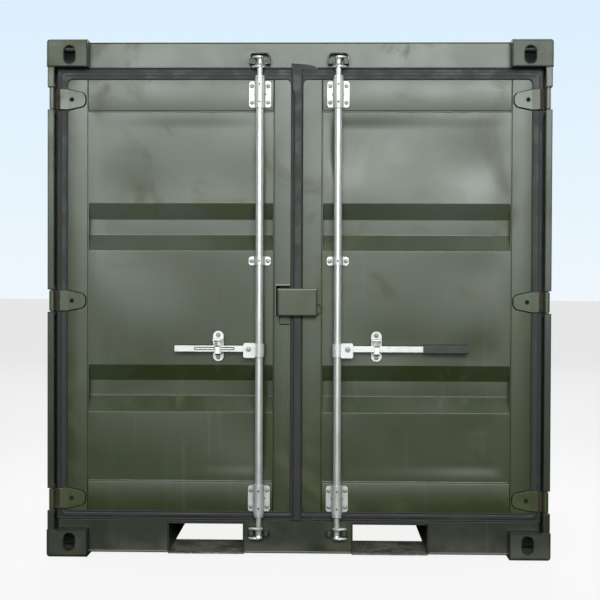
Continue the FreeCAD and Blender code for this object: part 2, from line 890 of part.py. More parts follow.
# ---- hinge blades --------------------------------------------------------------------------
def hinge_blade(z):
    """A right-hand blade: knuckle on the pin, cranked arm, and a strap on the door's tube."""
    t = hinge_blade_thickness
    strap = door_face_depth - t
    head = half_width - hinge_crank_start
    bend = half_width - hinge_crank_end
    tip = half_width - hinge_blade_end
    arm = hinge_arm_depth
    plan = [
        (hinge_x + hinge_knuckle_radius, hinge_depth),
        (hinge_x - hinge_knuckle_radius, hinge_depth),
        (hinge_x - hinge_knuckle_radius, arm), (head, arm),
        (head, hinge_head_depth), (bend, strap), (tip, strap),
        (tip, door_face_depth), (bend - t / 2, door_face_depth),
        (bend + hinge_bend_relief, door_face_depth - hinge_lip_space), (head - t / 2, arm + t),
        (hinge_x - hinge_knuckle_radius / 2, arm + t), (hinge_x + hinge_knuckle_radius, arm - t),
    ]
    half = hinge_blade_height / 2
    half_tip = hinge_blade_tip_height / 2
    body = upright(plan, z - half, z + half)
    knuckle = rod(hinge_x, hinge_depth, z - half, z + half, hinge_knuckle_radius)
    outline = [
        (half_width, z - half), (half_width, z + half), (bend, z + half),
        (tip + hinge_tip_run, z + half_tip), (tip, z + half_tip - hinge_tip_fall),
        (tip, z - half_tip + hinge_tip_fall), (tip + hinge_tip_run, z - half_tip),
        (bend, z - half),
    ]
    bore = rod(
        hinge_x, hinge_depth, z - half - past, z + half + past,
        hinge_pin_radius + hinge_pin_clearance)
    blade = fuse([body, knuckle]).common(facing(outline, 0, door_face_depth))
    return blade.cut(bore)


# ---- locking bars --------------------------------------------------------------------------
def rounded_plate(x, z, plate_width, plate_height, d0, d1, radius):
    plate = deep(
        x - plate_width / 2, x + plate_width / 2, d0, d1,
        z - plate_height / 2, z + plate_height / 2)
    return round_edges(plate, radius, lambda edge: along(edge, 1))


def bar_bracket(x, z, tall, seat_depth, sleeve_up, sleeve_down):
    """A winged plate with a sleeve that the bar turns in."""
    plate = rounded_plate(
        x, z, bracket_width, tall, seat_depth - bracket_plate, seat_depth, bracket_corner)
    z0 = z - tall / 2 - sleeve_down
    z1 = z + tall / 2 + sleeve_up
    sleeve = rod(x, bar_depth, z0, z1, bracket_sleeve_radius)
    back = deep(
        x - bracket_sleeve_radius, x + bracket_sleeve_radius, bar_depth, seat_depth,
        z - tall / 2, z + tall / 2)
    bore = rod(x, bar_depth, z0 - past, z1 + past, bar_radius + bar_clearance)
    notches = [
        rod_through(
            x + side * (bracket_sleeve_radius + past), z, seat_depth - bracket_plate - past,
            seat_depth + past, bracket_notch_radius)
        for side in (-1, 1)
    ]
    holes = [
        rod_through(x, z + side * sleeve_hole_spacing / 2, 0, bar_depth, sleeve_hole_radius)
        for side in (-1, 1)
    ]
    bracket = fuse([plate, sleeve, back]).cut([bore])
    if tall > bracket_short:
        bracket = bracket.cut(notches + holes)
    return bracket


def bar_brackets(side):
    x = side * bar_offset
    panel_depth = door_face_depth + panel_set_back
    extra = bracket_sleeve_extra
    return [
        bar_bracket(x, upper_bracket_height, bracket_tall, door_face_depth, extra, extra),
        bar_bracket(x, middle_bracket_height, bracket_short, panel_depth, 0, 0),
        bar_bracket(x, lower_bracket_height, bracket_tall, door_face_depth, extra, extra),
    ]


def cam_levels():
    """The lowest and highest point of the two cams, from the keepers that hold them."""
    lowest = sill_lug_base() - cam_gap - cam_plate
    highest = header_lug_base() + keeper_lug_height + cam_gap + cam_plate
    return lowest, highest


def lock_bar(side):
    x = side * bar_offset
    lowest, highest = cam_levels()
    sleeve_reach = bracket_tall / 2 + bracket_sleeve_extra + bar_collar_gap
    top_collar = upper_bracket_height + sleeve_reach
    bottom_collar = lower_bracket_height - sleeve_reach - bar_collar_height
    pieces = [
        rod(x, bar_depth, bottom_collar, top_collar + bar_collar_height, bar_radius),
        rod(x, bar_depth, top_collar, top_collar + bar_collar_height, bar_collar_radius),
        rod(x, bar_depth, bottom_collar, bottom_collar + bar_collar_height,
            bar_collar_radius),
        rod(x, bar_depth, lowest + cam_plate, bottom_collar + past, bar_neck_radius),
        rod(x, bar_depth, top_collar + bar_collar_height - past, highest - cam_plate,
            bar_neck_radius),
    ]
    return fuse(pieces)


def cam_lobe(x, direction, reach, z0):
    """A tapering lobe: a wide root at the bar and a round tip."""
    tip = x + direction * (reach - cam_lobe_radius)
    outline = [
        (x, bar_depth - cam_hub_radius), (tip, bar_depth - cam_lobe_radius),
        (tip, bar_depth + cam_lobe_radius), (x, bar_depth + cam_hub_radius),
    ]
    root = upright(outline, z0, z0 + cam_plate)
    end = rod(tip, bar_depth, z0, z0 + cam_plate, cam_lobe_radius)
    return [root, end]


def bar_cam(side, near_z, far_z, far_reach, neck_low, neck_high):
    """Two lobed plates on a hub, above and below the keeper's lugs."""
    x = side * bar_offset
    pieces = [rod(x, bar_depth, neck_low, neck_high, cam_hub_radius)]
    pieces += cam_lobe(x, side, far_reach, far_z)
    pieces += cam_lobe(x, side, upper_far_reach(), near_z)
    pieces += cam_lobe(x, -side, keeper_lug_inner - cam_lobe_inset, near_z)
    bore = rod(x, bar_depth, neck_low - past, neck_high + past, bar_neck_radius)
    return fuse(pieces).cut(bore)


def upper_far_reach():
    """A lobe that turns clear of the cheek at the outer end of an upper keeper."""
    return keeper_lug_outer - keeper_cheek - cam_gap


def bar_cams(side):
    lowest, highest = cam_levels()
    upper_near = header_lug_base() - cam_gap - cam_plate
    upper_far = highest - cam_plate
    lower_near = sill_lug_base() + keeper_lug_height + cam_gap
    upper = bar_cam(
        side, upper_near, upper_far, upper_far_reach(), upper_near, highest)
    lower = bar_cam(
        side, lower_near, lowest, keeper_lug_outer - cam_lobe_inset, lowest,
        lower_near + cam_plate)
    x = side * bar_offset
    caps = [
        rod(x, bar_depth, highest - cam_plate, highest, bar_neck_radius),
        rod(x, bar_depth, lowest, lowest + cam_plate, bar_neck_radius),
    ]
    return [fuse([upper, caps[0]]), fuse([lower, caps[1]])]


# ---- handles -------------------------------------------------------------------------------
def handle_hub(side):
    """A clevis on the bar, with the bolt that the handle tilts on."""
    x = side * bar_offset
    near = x + side * (bar_radius - hub_overlap)
    far = x + side * hub_far
    z0 = hub_height - hub_tall / 2
    z1 = hub_height + hub_tall / 2
    hub_front = bar_depth - hub_ahead
    hub_back = bar_depth + hub_behind
    handle_back = handle_front_depth + handle_thickness
    whole = deep(near, far, hub_front, hub_back, z0, z1)
    whole = round_edges(whole, hub_corner, lambda edge: along(edge, 1))
    slot = deep(
        near + side * hub_web, far + side * past,
        handle_front_depth - handle_slot_clearance, handle_back + handle_slot_clearance,
        z0 - past, z1 + past)
    pivot_x = x + side * handle_pivot
    bolt = rod_through(
        pivot_x, handle_height, hub_front, hub_back, handle_bolt_radius)
    clamp = rod(
        x, bar_depth, z0 + hub_clamp_inset, z1 - hub_clamp_inset, bar_radius + hub_clamp_wall)
    bore = rod(x, bar_depth, z0, z1, bar_radius)
    hub = fuse([whole, clamp]).cut([slot, bore])
    return fuse([hub, bolt])


def handle_bar(side, reach):
    """A flat bar, round at the hub's bolt and square with rounded corners at its free end."""
    x = side * bar_offset + side * handle_pivot
    end = side * bar_offset + side * reach
    d0 = handle_front_depth
    d1 = d0 + handle_thickness
    radius = handle_tall / 2
    corner = handle_end_radius
    straight = radius - corner
    pieces = [
        rod_through(x, handle_height, d0, d1, radius),
        rod_through(end - side * corner, handle_height - straight, d0, d1, corner),
        rod_through(end - side * corner, handle_height + straight, d0, d1, corner),
        deep(
            x, end - side * corner, d0, d1, handle_height - radius, handle_height + radius),
        deep(x, end, d0, d1, handle_height - straight, handle_height + straight),
    ]
    bore = rod_through(
        x, handle_height, d0 - past, d1 + past, handle_bolt_radius + handle_bolt_clearance)
    return fuse(pieces).cut(bore)


def left_handle():
    """The short handle, with a long rib pressed between two grooves in its front face."""
    start = -(bar_offset + handle_pivot + rib_from_pivot)
    end = start - rib_length

    def rounded_strip(tall, inset):
        radius = tall / 2
        x0 = start - inset - radius
        x1 = end + inset + radius
        d0 = handle_front_depth - past
        d1 = handle_front_depth + rib_depth
        return fuse([
            rod_through(x0, handle_height, d0, d1, radius),
            rod_through(x1, handle_height, d0, d1, radius),
            deep(x0, x1, d0, d1, handle_height - radius, handle_height + radius),
        ])

    inset = (rib_outer_tall - rib_inner_tall) / 2
    groove = rounded_strip(rib_outer_tall, 0).cut(rounded_strip(rib_inner_tall, inset))
    return handle_bar(-1, left_handle_length + handle_pivot).cut(groove)


def handle_grip():
    """The rubber grip on the right handle, a sleeve over the bar's end."""
    start = bar_offset + handle_pivot + right_bare_length
    end = start + grip_length
    middle = handle_front_depth + handle_thickness / 2
    d0 = middle - grip_thickness / 2
    d1 = middle + grip_thickness / 2
    half = grip_tall / 2
    sleeve = deep(start, end, d0, d1, handle_height - half, handle_height + half)
    sleeve = round_edges(sleeve, grip_thickness / 3, lambda edge: along(edge, 0))
    space = handle_bar(1, right_handle_reach())
    clearance = gasket_clearance
    inner = deep(
        start - past, right_handle_reach() + bar_offset + clearance,
        handle_front_depth - clearance, handle_front_depth + handle_thickness + clearance,
        handle_height - handle_tall / 2 - clearance,
        handle_height + handle_tall / 2 + clearance)
    return sleeve.cut([inner, space])


def right_handle_reach():
    return handle_pivot + right_bare_length + grip_length - grip_thickness


# ---- handle retainers and catches ----------------------------------------------------------
def catch_x(side):
    offset = left_catch_offset if side < 0 else right_catch_offset
    return side * (bar_offset + offset)


def handle_retainer(side):
    """A bolted plate with a shelf under the handle and two ears that carry the catch."""
    x = catch_x(side)
    seat = door_face_depth + panel_set_back
    z = handle_height
    plate = rounded_plate(
        x, z + retainer_rise, retainer_width, retainer_tall, seat - retainer_plate, seat,
        (retainer_width - retainer_end_flat) / 2)
    shelf_top = z - handle_tall / 2 - retainer_shelf_gap
    slot_top = shelf_top - retainer_shelf_tall - retainer_slot_gap
    slot = deep(
        x - retainer_slot_width / 2, x + retainer_slot_width / 2,
        seat - retainer_plate - past, seat + past, slot_top - retainer_slot_tall, slot_top)
    shelf = deep(
        x - catch_width / 2, x + catch_width / 2,
        handle_front_depth - retainer_shelf_lead, seat,
        shelf_top - retainer_shelf_tall, shelf_top)
    pieces = [plate, shelf]
    ear_low = z + catch_pivot_rise - catch_knuckle_radius
    ear_high = z + catch_pivot_rise + catch_knuckle_radius
    ear_front = catch_pivot_depth - catch_knuckle_radius
    ear_in = catch_width / 2 + catch_side_clearance
    for direction in (-1, 1):
        ear = deep(
            x + direction * ear_in, x + direction * (ear_in + retainer_ear), ear_front, seat,
            ear_low, ear_high)
        pieces.append(ear)
    reach = ear_in + retainer_ear
    pieces.append(rod_across(
        x - reach, x + reach, catch_pivot_depth, z + catch_pivot_rise, catch_pin_radius))
    return fuse(pieces).cut(slot)


def handle_catch(side):
    """A hinged strap that hangs in front of the handle."""
    x = catch_x(side)
    z = handle_height + catch_pivot_rise
    half = catch_width / 2
    front_depth = catch_pivot_depth - catch_knuckle_radius
    knuckle = rod_across(x - half, x + half, catch_pivot_depth, z, catch_knuckle_radius)
    strap = deep(
        x - half, x + half, front_depth, front_depth + catch_plate, z - catch_drop, z)
    strap = round_edges(
        strap, catch_plate, lambda edge: along(edge, 1) and edge.CenterOfMass.z < z - past)
    bore = rod_across(
        x - half - past, x + half + past, catch_pivot_depth, z,
        catch_pin_radius + catch_pin_clearance)
    return fuse([knuckle, strap]).cut(bore)


# ---- lock box and staple -------------------------------------------------------------------
def lock_box():
    """A steel cover on the right door, open below and behind, over the left door's staple."""
    x0 = lock_box_left
    x1 = lock_box_right
    d0 = lock_box_depth
    wall = lock_box_wall
    clear_back = door_face_depth - staple_plate - lock_box_rear_gap
    seated = deep(door_right_edge, x1, d0, door_face_depth, lock_box_bottom, lock_box_top)
    free = deep(x0, door_right_edge, d0, clear_back, lock_box_bottom, lock_box_top)
    shell = fuse([seated, free])

    def front_edge(edge):
        middle = edge.CenterOfMass
        return abs(middle.y - front - d0) < same_place and (along(edge, 0) or along(edge, 2))

    edges = [edge for edge in shell.Edges if front_edge(edge)]
    shell = shell.makeChamfer(lock_box_bevel, edges)
    inner = deep(
        x0 + wall, x1 - wall, d0 + wall + lock_box_front_extra, door_face_depth + past,
        lock_box_bottom - past, lock_box_top - wall)
    gasket_space = deep(
        door_right_edge - past, door_right_edge + gasket_lip_overlap + lock_box_gasket_gap,
        clear_back, door_face_depth + past, lock_box_bottom - past, lock_box_top + past)
    return shell.cut([inner, gasket_space])


def lock_staple():
    """The plate on the left door with the padlock eye that stands inside the box."""
    seat = door_face_depth
    plate_front = seat - staple_plate
    x1 = door_left_edge - staple_seam_gap
    middle = (lock_box_bottom + lock_box_top) / 2
    upper = deep(x1 - staple_upper_width, x1, plate_front, seat, middle, staple_top)
    lower = deep(x1 - staple_lower_width, x1, plate_front, seat, staple_bottom, middle)
    plate = round_edges(
        fuse([upper, lower]), staple_corner,
        lambda edge: along(edge, 1) and abs(edge.CenterOfMass.z - middle) > staple_corner)
    eye_x = x1 - staple_lower_width / 2
    eye_depth = plate_front - staple_eye_radius / 2
    eye_z = (lock_box_bottom + middle) / 2
    half = staple_eye_thickness / 2
    eye = Part.makeCylinder(
        staple_eye_radius, staple_eye_thickness,
        Vector(eye_x - half, front + eye_depth, eye_z), Vector(1, 0, 0))
    hole = Part.makeCylinder(
        staple_eye_hole, staple_eye_thickness + 2,
        Vector(eye_x - half - past, front + eye_depth - staple_hole_lead, eye_z),
        Vector(1, 0, 0))
    reach = staple_eye_radius + past
    trim = deep(
        eye_x - reach, eye_x + reach, plate_front, seat + reach, eye_z - reach, eye_z + reach)
    return fuse([plate, eye.cut([hole, trim])])


# ---- writing the nodes ---------------------------------------------------------------------
def write_frame():
    corner_castings()
    post = front_post()
    save("front_posts", [post, mirror_x(post)])
    lugs = [hinge_lug_pair(z) for z in hinge_heights]
    save("hinge_lugs", lugs + [mirror_x(lug) for lug in lugs])
    save("rear_posts", [rear_post(), mirror_x(rear_post())])
    door_header()
    door_sill()
    top_rails()
    bottom_side_rails()
    rear_bottom_rail()
    save("roof_panel", [roof_panel()])
    save("side_wall_right", [side_wall()])
    save("side_wall_left", [mirror_x(side_wall())])
    save("rear_wall", [rear_wall()])
    save("floor_boards", [floor_boards()])
    save("cross_members", cross_members())
    fork_pockets()
    keepers()


def write_door(name, side):
    save(name + "_door_frame", [door_frame(side)])
    save(name + "_door_panel", [door_panel(side)])
    save(name + "_door_gasket", [door_gasket(side)])
    blades = [hinge_blade(z) for z in hinge_heights]
    if side < 0:
        blades = [mirror_x(blade) for blade in blades]
    save(name + "_hinge_blades", blades)
    save(name + "_bar_brackets", bar_brackets(side))
    save(name + "_handle_retainer", [handle_retainer(side)])
    save(name + "_handle_catch", [handle_catch(side)])
    save(name + "_lock_bar", [lock_bar(side)])
    save(name + "_bar_cams", bar_cams(side))
    save(name + "_handle_hub", [handle_hub(side)])


write_frame()
write_door("left", -1)
write_door("right", 1)
save("left_handle", [left_handle()])
save("right_handle", [handle_bar(1, right_handle_reach())])
save("right_handle_grip", [handle_grip()])
save("lock_box", [lock_box()])
save("lock_staple", [lock_staple()])
print("written")
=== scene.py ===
"""Finish of an eight-foot steel container: pressed sheets, tubes, welds, bolts, seals and paint.

Metres, +Z up, doors facing -Y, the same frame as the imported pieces. Every new piece is a numpy
grid: a profile carried along a path, or a function of two parameters. "side" is -1 for the left
door and 1 for the right one.
"""
import math

import bmesh
import bpy
import numpy as np
from mathutils import Euler, Matrix, Vector


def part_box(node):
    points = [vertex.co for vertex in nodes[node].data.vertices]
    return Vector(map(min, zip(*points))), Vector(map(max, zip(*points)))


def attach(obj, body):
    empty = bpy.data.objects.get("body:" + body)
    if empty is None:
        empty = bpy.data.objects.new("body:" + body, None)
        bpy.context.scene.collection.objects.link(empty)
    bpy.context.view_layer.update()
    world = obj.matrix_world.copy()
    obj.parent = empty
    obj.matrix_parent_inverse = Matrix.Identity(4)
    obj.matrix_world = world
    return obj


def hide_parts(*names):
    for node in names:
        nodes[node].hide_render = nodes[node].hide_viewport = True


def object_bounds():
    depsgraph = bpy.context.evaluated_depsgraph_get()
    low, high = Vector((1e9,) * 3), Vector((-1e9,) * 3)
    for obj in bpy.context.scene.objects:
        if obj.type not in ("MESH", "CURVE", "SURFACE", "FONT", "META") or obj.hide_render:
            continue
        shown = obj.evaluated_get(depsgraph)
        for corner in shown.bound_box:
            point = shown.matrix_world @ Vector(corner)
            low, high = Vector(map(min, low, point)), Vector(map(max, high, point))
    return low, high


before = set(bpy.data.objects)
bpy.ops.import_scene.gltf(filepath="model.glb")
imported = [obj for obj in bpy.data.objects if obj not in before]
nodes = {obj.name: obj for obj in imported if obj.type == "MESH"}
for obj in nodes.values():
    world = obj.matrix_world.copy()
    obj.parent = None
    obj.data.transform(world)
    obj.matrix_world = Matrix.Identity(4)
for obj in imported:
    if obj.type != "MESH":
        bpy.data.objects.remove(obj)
cad_low, cad_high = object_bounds()

X, Y, Z = np.eye(3)
FRONT = -Y
DOORS = (("left", -1), ("right", 1))
PARALLEL = 1e-9       # lengths are never taken as less than this when divided by
SAME_POINT = 1e-6     # points this close are one


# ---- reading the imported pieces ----
def vertices(node):
    """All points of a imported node, as an array."""
    mesh = nodes[node].data
    points = np.empty(len(mesh.vertices) * 3, np.float32)
    mesh.vertices.foreach_get("co", points)
    return points.reshape(-1, 3).astype(float)


def corners(node):
    """A node's lowest and highest corner, as arrays."""
    low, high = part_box(node)
    return np.array(low), np.array(high)


def centre_of(node):
    low, high = corners(node)
    return (low + high) / 2


def face_of(node):
    """The depth of a node's foremost point."""
    return corners(node)[0][1]


def both(*parts):
    """The names of these parts of the left door and of the right one."""
    return tuple(name + "_" + part for name, _ in DOORS for part in parts)


def clusters(node, axis, gap=0.05):
    """Boxes of a node's separate stretches along an axis, split where nothing lies for a gap."""
    points = vertices(node)
    order = np.argsort(points[:, axis])
    points = points[order]
    breaks = np.flatnonzero(np.diff(points[:, axis]) > gap) + 1
    return [(part.min(0), part.max(0)) for part in np.split(points, breaks)]


# ---- making meshes ----
def unit(vectors):
    vectors = np.asarray(vectors, float)
    return vectors / np.maximum(np.linalg.norm(vectors, axis=-1, keepdims=True), PARALLEL)


def surface(points, wrap_rows=False, wrap_columns=False):
    """The quads between neighbours of a grid of points, given rows by columns by 3."""
    rows, columns = points.shape[:2]
    r = np.arange(rows if wrap_rows else rows - 1)[:, None]
    c = np.arange(columns if wrap_columns else columns - 1)[None, :]
    r1, c1 = (r + 1) % rows, (c + 1) % columns
    quads = [r * columns + c, r * columns + c1, r1 * columns + c1, r1 * columns + c]
    quads = np.stack(np.broadcast_arrays(*quads), axis=-1).reshape(-1, 4)
    return points.reshape(-1, 3), quads


def joined(shapes):
    """Several (points, quads) as one."""
    starts = np.cumsum([0] + [len(points) for points, _ in shapes[:-1]])
    points = np.concatenate([points for points, _ in shapes])
    quads = np.concatenate([quads + start for (_, quads), start in zip(shapes, starts)])
    return points, quads


def make_piece(name, shapes, finish, body, crease=35.0, replaces=()):
    """A mesh object from grids: doubles merged, faces outward, smooth up to the crease angle."""
    points, quads = joined(shapes)
    mesh = bpy.data.meshes.new(name)
    mesh.from_pydata(points.tolist(), [], quads.tolist())
    work = bmesh.new()
    work.from_mesh(mesh)
    bmesh.ops.remove_doubles(work, verts=work.verts, dist=SAME_POINT)
    bmesh.ops.recalc_face_normals(work, faces=work.faces)
    work.to_mesh(mesh)
    work.free()
    mesh.shade_smooth()
    mesh.set_sharp_from_angle(angle=math.radians(crease))
    mesh.materials.append(finish)
    piece = bpy.data.objects.new(name, mesh)
    bpy.context.scene.collection.objects.link(piece)
    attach(piece, body)
    if replaces:
        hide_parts(*replaces)


def turned(profile, centre, axis, count=24):
    """A (radius, height) profile spun about an axis.

    point = centre + height * axis + radius * (cos(angle) * side + sin(angle) * up)
    """
    axis = unit(axis)
    side = unit(np.cross(axis, Z if abs(axis[2]) < 0.9 else X))
    up = np.cross(axis, side)
    angle = np.arange(count) * 2 * math.pi / count
    ring = np.cos(angle)[:, None] * side + np.sin(angle)[:, None] * up
    profile = np.asarray(profile, float)
    radius, height = profile[:, 0, None, None], profile[:, 1, None, None]
    return surface(np.asarray(centre) + height * axis + radius * ring, wrap_columns=True)


def reach_along(path):
    """The distance from a path's start to each of its points."""
    return np.concatenate([[0.0], np.cumsum(np.linalg.norm(np.diff(path, axis=0), axis=1))])


def resampled(path, reach, stations):
    return np.stack([np.interp(stations, reach, column) for column in path.T], axis=1)


def spaced(path, step):
    """A path resampled at even distances of about one step, with its corners kept near."""
    path = np.asarray(path, float)
    reach = reach_along(path)
    stations = np.linspace(0.0, reach[-1], max(int(reach[-1] / step), 2) + 1)
    return resampled(path, reach, stations)


def swept(path, out, section, closed=False, scale=None):
    """A closed section carried along a path.

    A section point (a, b) becomes path + scale * (a * side + b * out), where side is square to
    the path and to out. The ends shrink onto the path unless the path is closed.
    """
    path = np.asarray(path, float)
    if closed:
        tangent = np.roll(path, -1, axis=0) - np.roll(path, 1, axis=0)
    else:
        tangent = np.gradient(path, axis=0)
    out = np.broadcast_to(unit(out), path.shape)
    side = unit(np.cross(tangent, out))
    section = np.asarray(section, float)
    scale = np.ones(len(path)) if scale is None else scale
    a = section[None, :, 0, None] * scale[:, None, None]
    b = section[None, :, 1, None] * scale[:, None, None]
    points = path[:, None, :] + a * side[:, None, :] + b * out[:, None, :]
    if closed:
        return surface(points, wrap_rows=True, wrap_columns=True)
    first = np.broadcast_to(points[:1].mean(axis=1, keepdims=True), points[:1].shape)
    last = np.broadcast_to(points[-1:].mean(axis=1, keepdims=True), points[-1:].shape)
    return surface(np.concatenate([first, points, last]), wrap_columns=True)


def oval(width, rise, count=10):
    """An oval section, half of it above the face that it lies on."""
    angle = np.arange(count) * 2 * math.pi / count
    return np.stack([np.cos(angle) * width / 2, np.sin(angle) * rise], axis=1)


def bead(path, width, rise):
    """An even oval bead along a path on a face that looks forward."""
    return swept(spaced(path, 0.004), FRONT, oval(width, rise))


def upright(outline, depth):
    """An outline of (x, z) points stood up at one depth."""
    x, z = np.asarray(outline, float).T
    return np.stack([x, np.full(len(x), depth), z], axis=1)


def weld(path, out, width, rise, seed):
    """A weld run: an oval whose size is rippled by a sine of the distance and by a slow drift.

    scale = 1 + 0.10 * sin(2 pi * distance / pitch) + 0.35 * smoothed noise, pinched at the ends
    """
    pitch = 0.012
    step = pitch / 4
    path = spaced(path, step)
    count = len(path)
    rng = np.random.default_rng(seed)
    drift = np.convolve(rng.normal(size=count + 12), np.ones(13) / 13, mode="valid")
    distance = np.arange(count) * step
    scale = 1 + 0.10 * np.sin(2 * math.pi * distance / pitch) + 0.35 * drift
    ends = np.minimum(np.arange(count), np.arange(count)[::-1]) / 3
    return swept(path, out, oval(width, rise), scale=scale * np.clip(ends + 0.2, 0, 1))


def shell(front, back_depth, axis=1):
    """A grid and its copy at another depth, joined round their rims into a closed sheet."""
    back = front.copy()
    back[..., axis] = back_depth
    rims = (
        (front[0], back[0]), (front[-1], back[-1]), (front[:, 0], back[:, 0]),
        (front[:, -1], back[:, -1]))
    return joined(
        [surface(front), surface(back)] + [surface(np.stack(rim)) for rim in rims])


def softened(profile, radius, steps=5):
    """Each inner corner of a polyline turned into a bend.

    A bend is the curve (1-u)^2 * start + 2u(1-u) * corner + u^2 * end, with its start and end a
    tangent length away from the corner, at most 0.45 of the shorter run.
    """
    profile = np.asarray(profile, float)
    before, corner, after = profile[:-2], profile[1:-1], profile[2:]
    d1, d2 = unit(corner - before), unit(after - corner)
    turn = np.arccos(np.clip((d1 * d2).sum(1), -1, 1))
    length = radius * np.tan(turn / 2)
    room = 0.45 * np.minimum(
        np.linalg.norm(corner - before, axis=1), np.linalg.norm(after - corner, axis=1))
    length = np.minimum(length, room)[:, None, None]
    u = np.linspace(0, 1, steps)[None, :, None]
    start, end = corner[:, None] - length * d1[:, None], corner[:, None] + length * d2[:, None]
    bends = (1 - u) ** 2 * start + 2 * u * (1 - u) * corner[:, None] + u ** 2 * end
    return np.concatenate([profile[:1], bends.reshape(-1, profile.shape[1]), profile[-1:]])


def refined(profile, step):
    """A polyline with extra points, so that no run is longer than a step."""
    reach = reach_along(profile)
    stations = np.union1d(reach, np.arange(0, reach[-1], step))
    keep = np.concatenate([[True], np.diff(stations) > SAME_POINT])
    return resampled(profile, reach, stations[keep])


def hollows(s, t, count, size, depth, seed):
    """Soft dents over a grid: a sum of bells exp(-(distance / size)^2), eased out at the rims."""
    rng = np.random.default_rng(seed)
    s_mid = rng.uniform(s.min(), s.max(), count)
    t_mid = rng.uniform(t.min(), t.max(), count)
    spread = rng.uniform(0.6, 1.4, count) * size
    push = rng.uniform(-1.0, 0.45, count) * depth
    far = (s[..., None] - s_mid) ** 2 + 0.6 * (t[..., None] - t_mid) ** 2
    total = (push * np.exp(-far / spread ** 2)).sum(-1)
    rim = np.minimum.reduce([s - s.min(), s.max() - s, t - t.min(), t.max() - t])
    return total * np.clip(rim / 0.06, 0, 1) ** 2


def rounded_bar(low, high, axis, radius):
    """A bar between two corners along an axis, its four long edges rounded, with flat ends."""
    low, high = np.asarray(low, float), np.asarray(high, float)
    a, b = [k for k in range(3) if k != axis]
    half_a, half_b = (high[a] - low[a]) / 2 - radius, (high[b] - low[b]) / 2 - radius
    bend_steps = 4
    quarter = np.linspace(0, math.pi / 2, bend_steps)
    angle = np.concatenate([quarter + k * math.pi / 2 for k in range(4)])
    sign_a = np.repeat([1, -1, -1, 1], bend_steps)
    sign_b = np.repeat([1, 1, -1, -1], bend_steps)
    ring = np.zeros((len(angle), 3))
    ring[:, a] = sign_a * half_a + radius * np.cos(angle)
    ring[:, b] = sign_b * half_b + radius * np.sin(angle)
    middle = (low + high) / 2
    ends = []
    for place, shrink in ((low, 0.0), (low, 1.0), (high, 1.0), (high, 0.0)):
        row = middle + ring * shrink
        row[:, axis] = place[axis]
        ends.append(row)
    return surface(np.stack(ends), wrap_columns=True)


def rectangle_path(low, high, depth, radius, step=0.02):
    """A closed loop round an upright rectangle at one depth, with rounded corners."""
    x0, z0, x1, z1 = low[0] + radius, low[1] + radius, high[0] - radius, high[1] - radius
    quarter = np.linspace(0, math.pi / 2, 7)
    loop = []
    for k, (x, z) in enumerate(((x1, z1), (x0, z1), (x0, z0), (x1, z0))):
        angle = quarter + k * math.pi / 2
        loop.append(np.stack([x + radius * np.cos(angle), z + radius * np.sin(angle)], 1))
    loop = np.concatenate(loop + [loop[0][:1]])
    return upright(refined(loop, step)[:-1], depth)


def dome_head(centre, out, radius, rise):
    """A round fastener head: a low dome over a short collar, on a thin washer."""
    washer = [(0, 0), (radius * 1.35, 0), (radius * 1.35, 0.0012), (radius, 0.0016), (0, 0.0016)]
    head = [
        (0, 0), (radius, 0.0), (radius, rise * 0.35), (radius * 0.93, rise * 0.6),
        (radius * 0.7, rise * 0.88), (radius * 0.35, rise * 0.98), (0, rise),
    ]
    return [turned(washer, centre, out), turned(head, centre, out)]


# ---- finishes ----
COLOUR_A, COLOUR_B, COLOUR_OUT = 6, 7, 2    # the Mix node's colour sockets


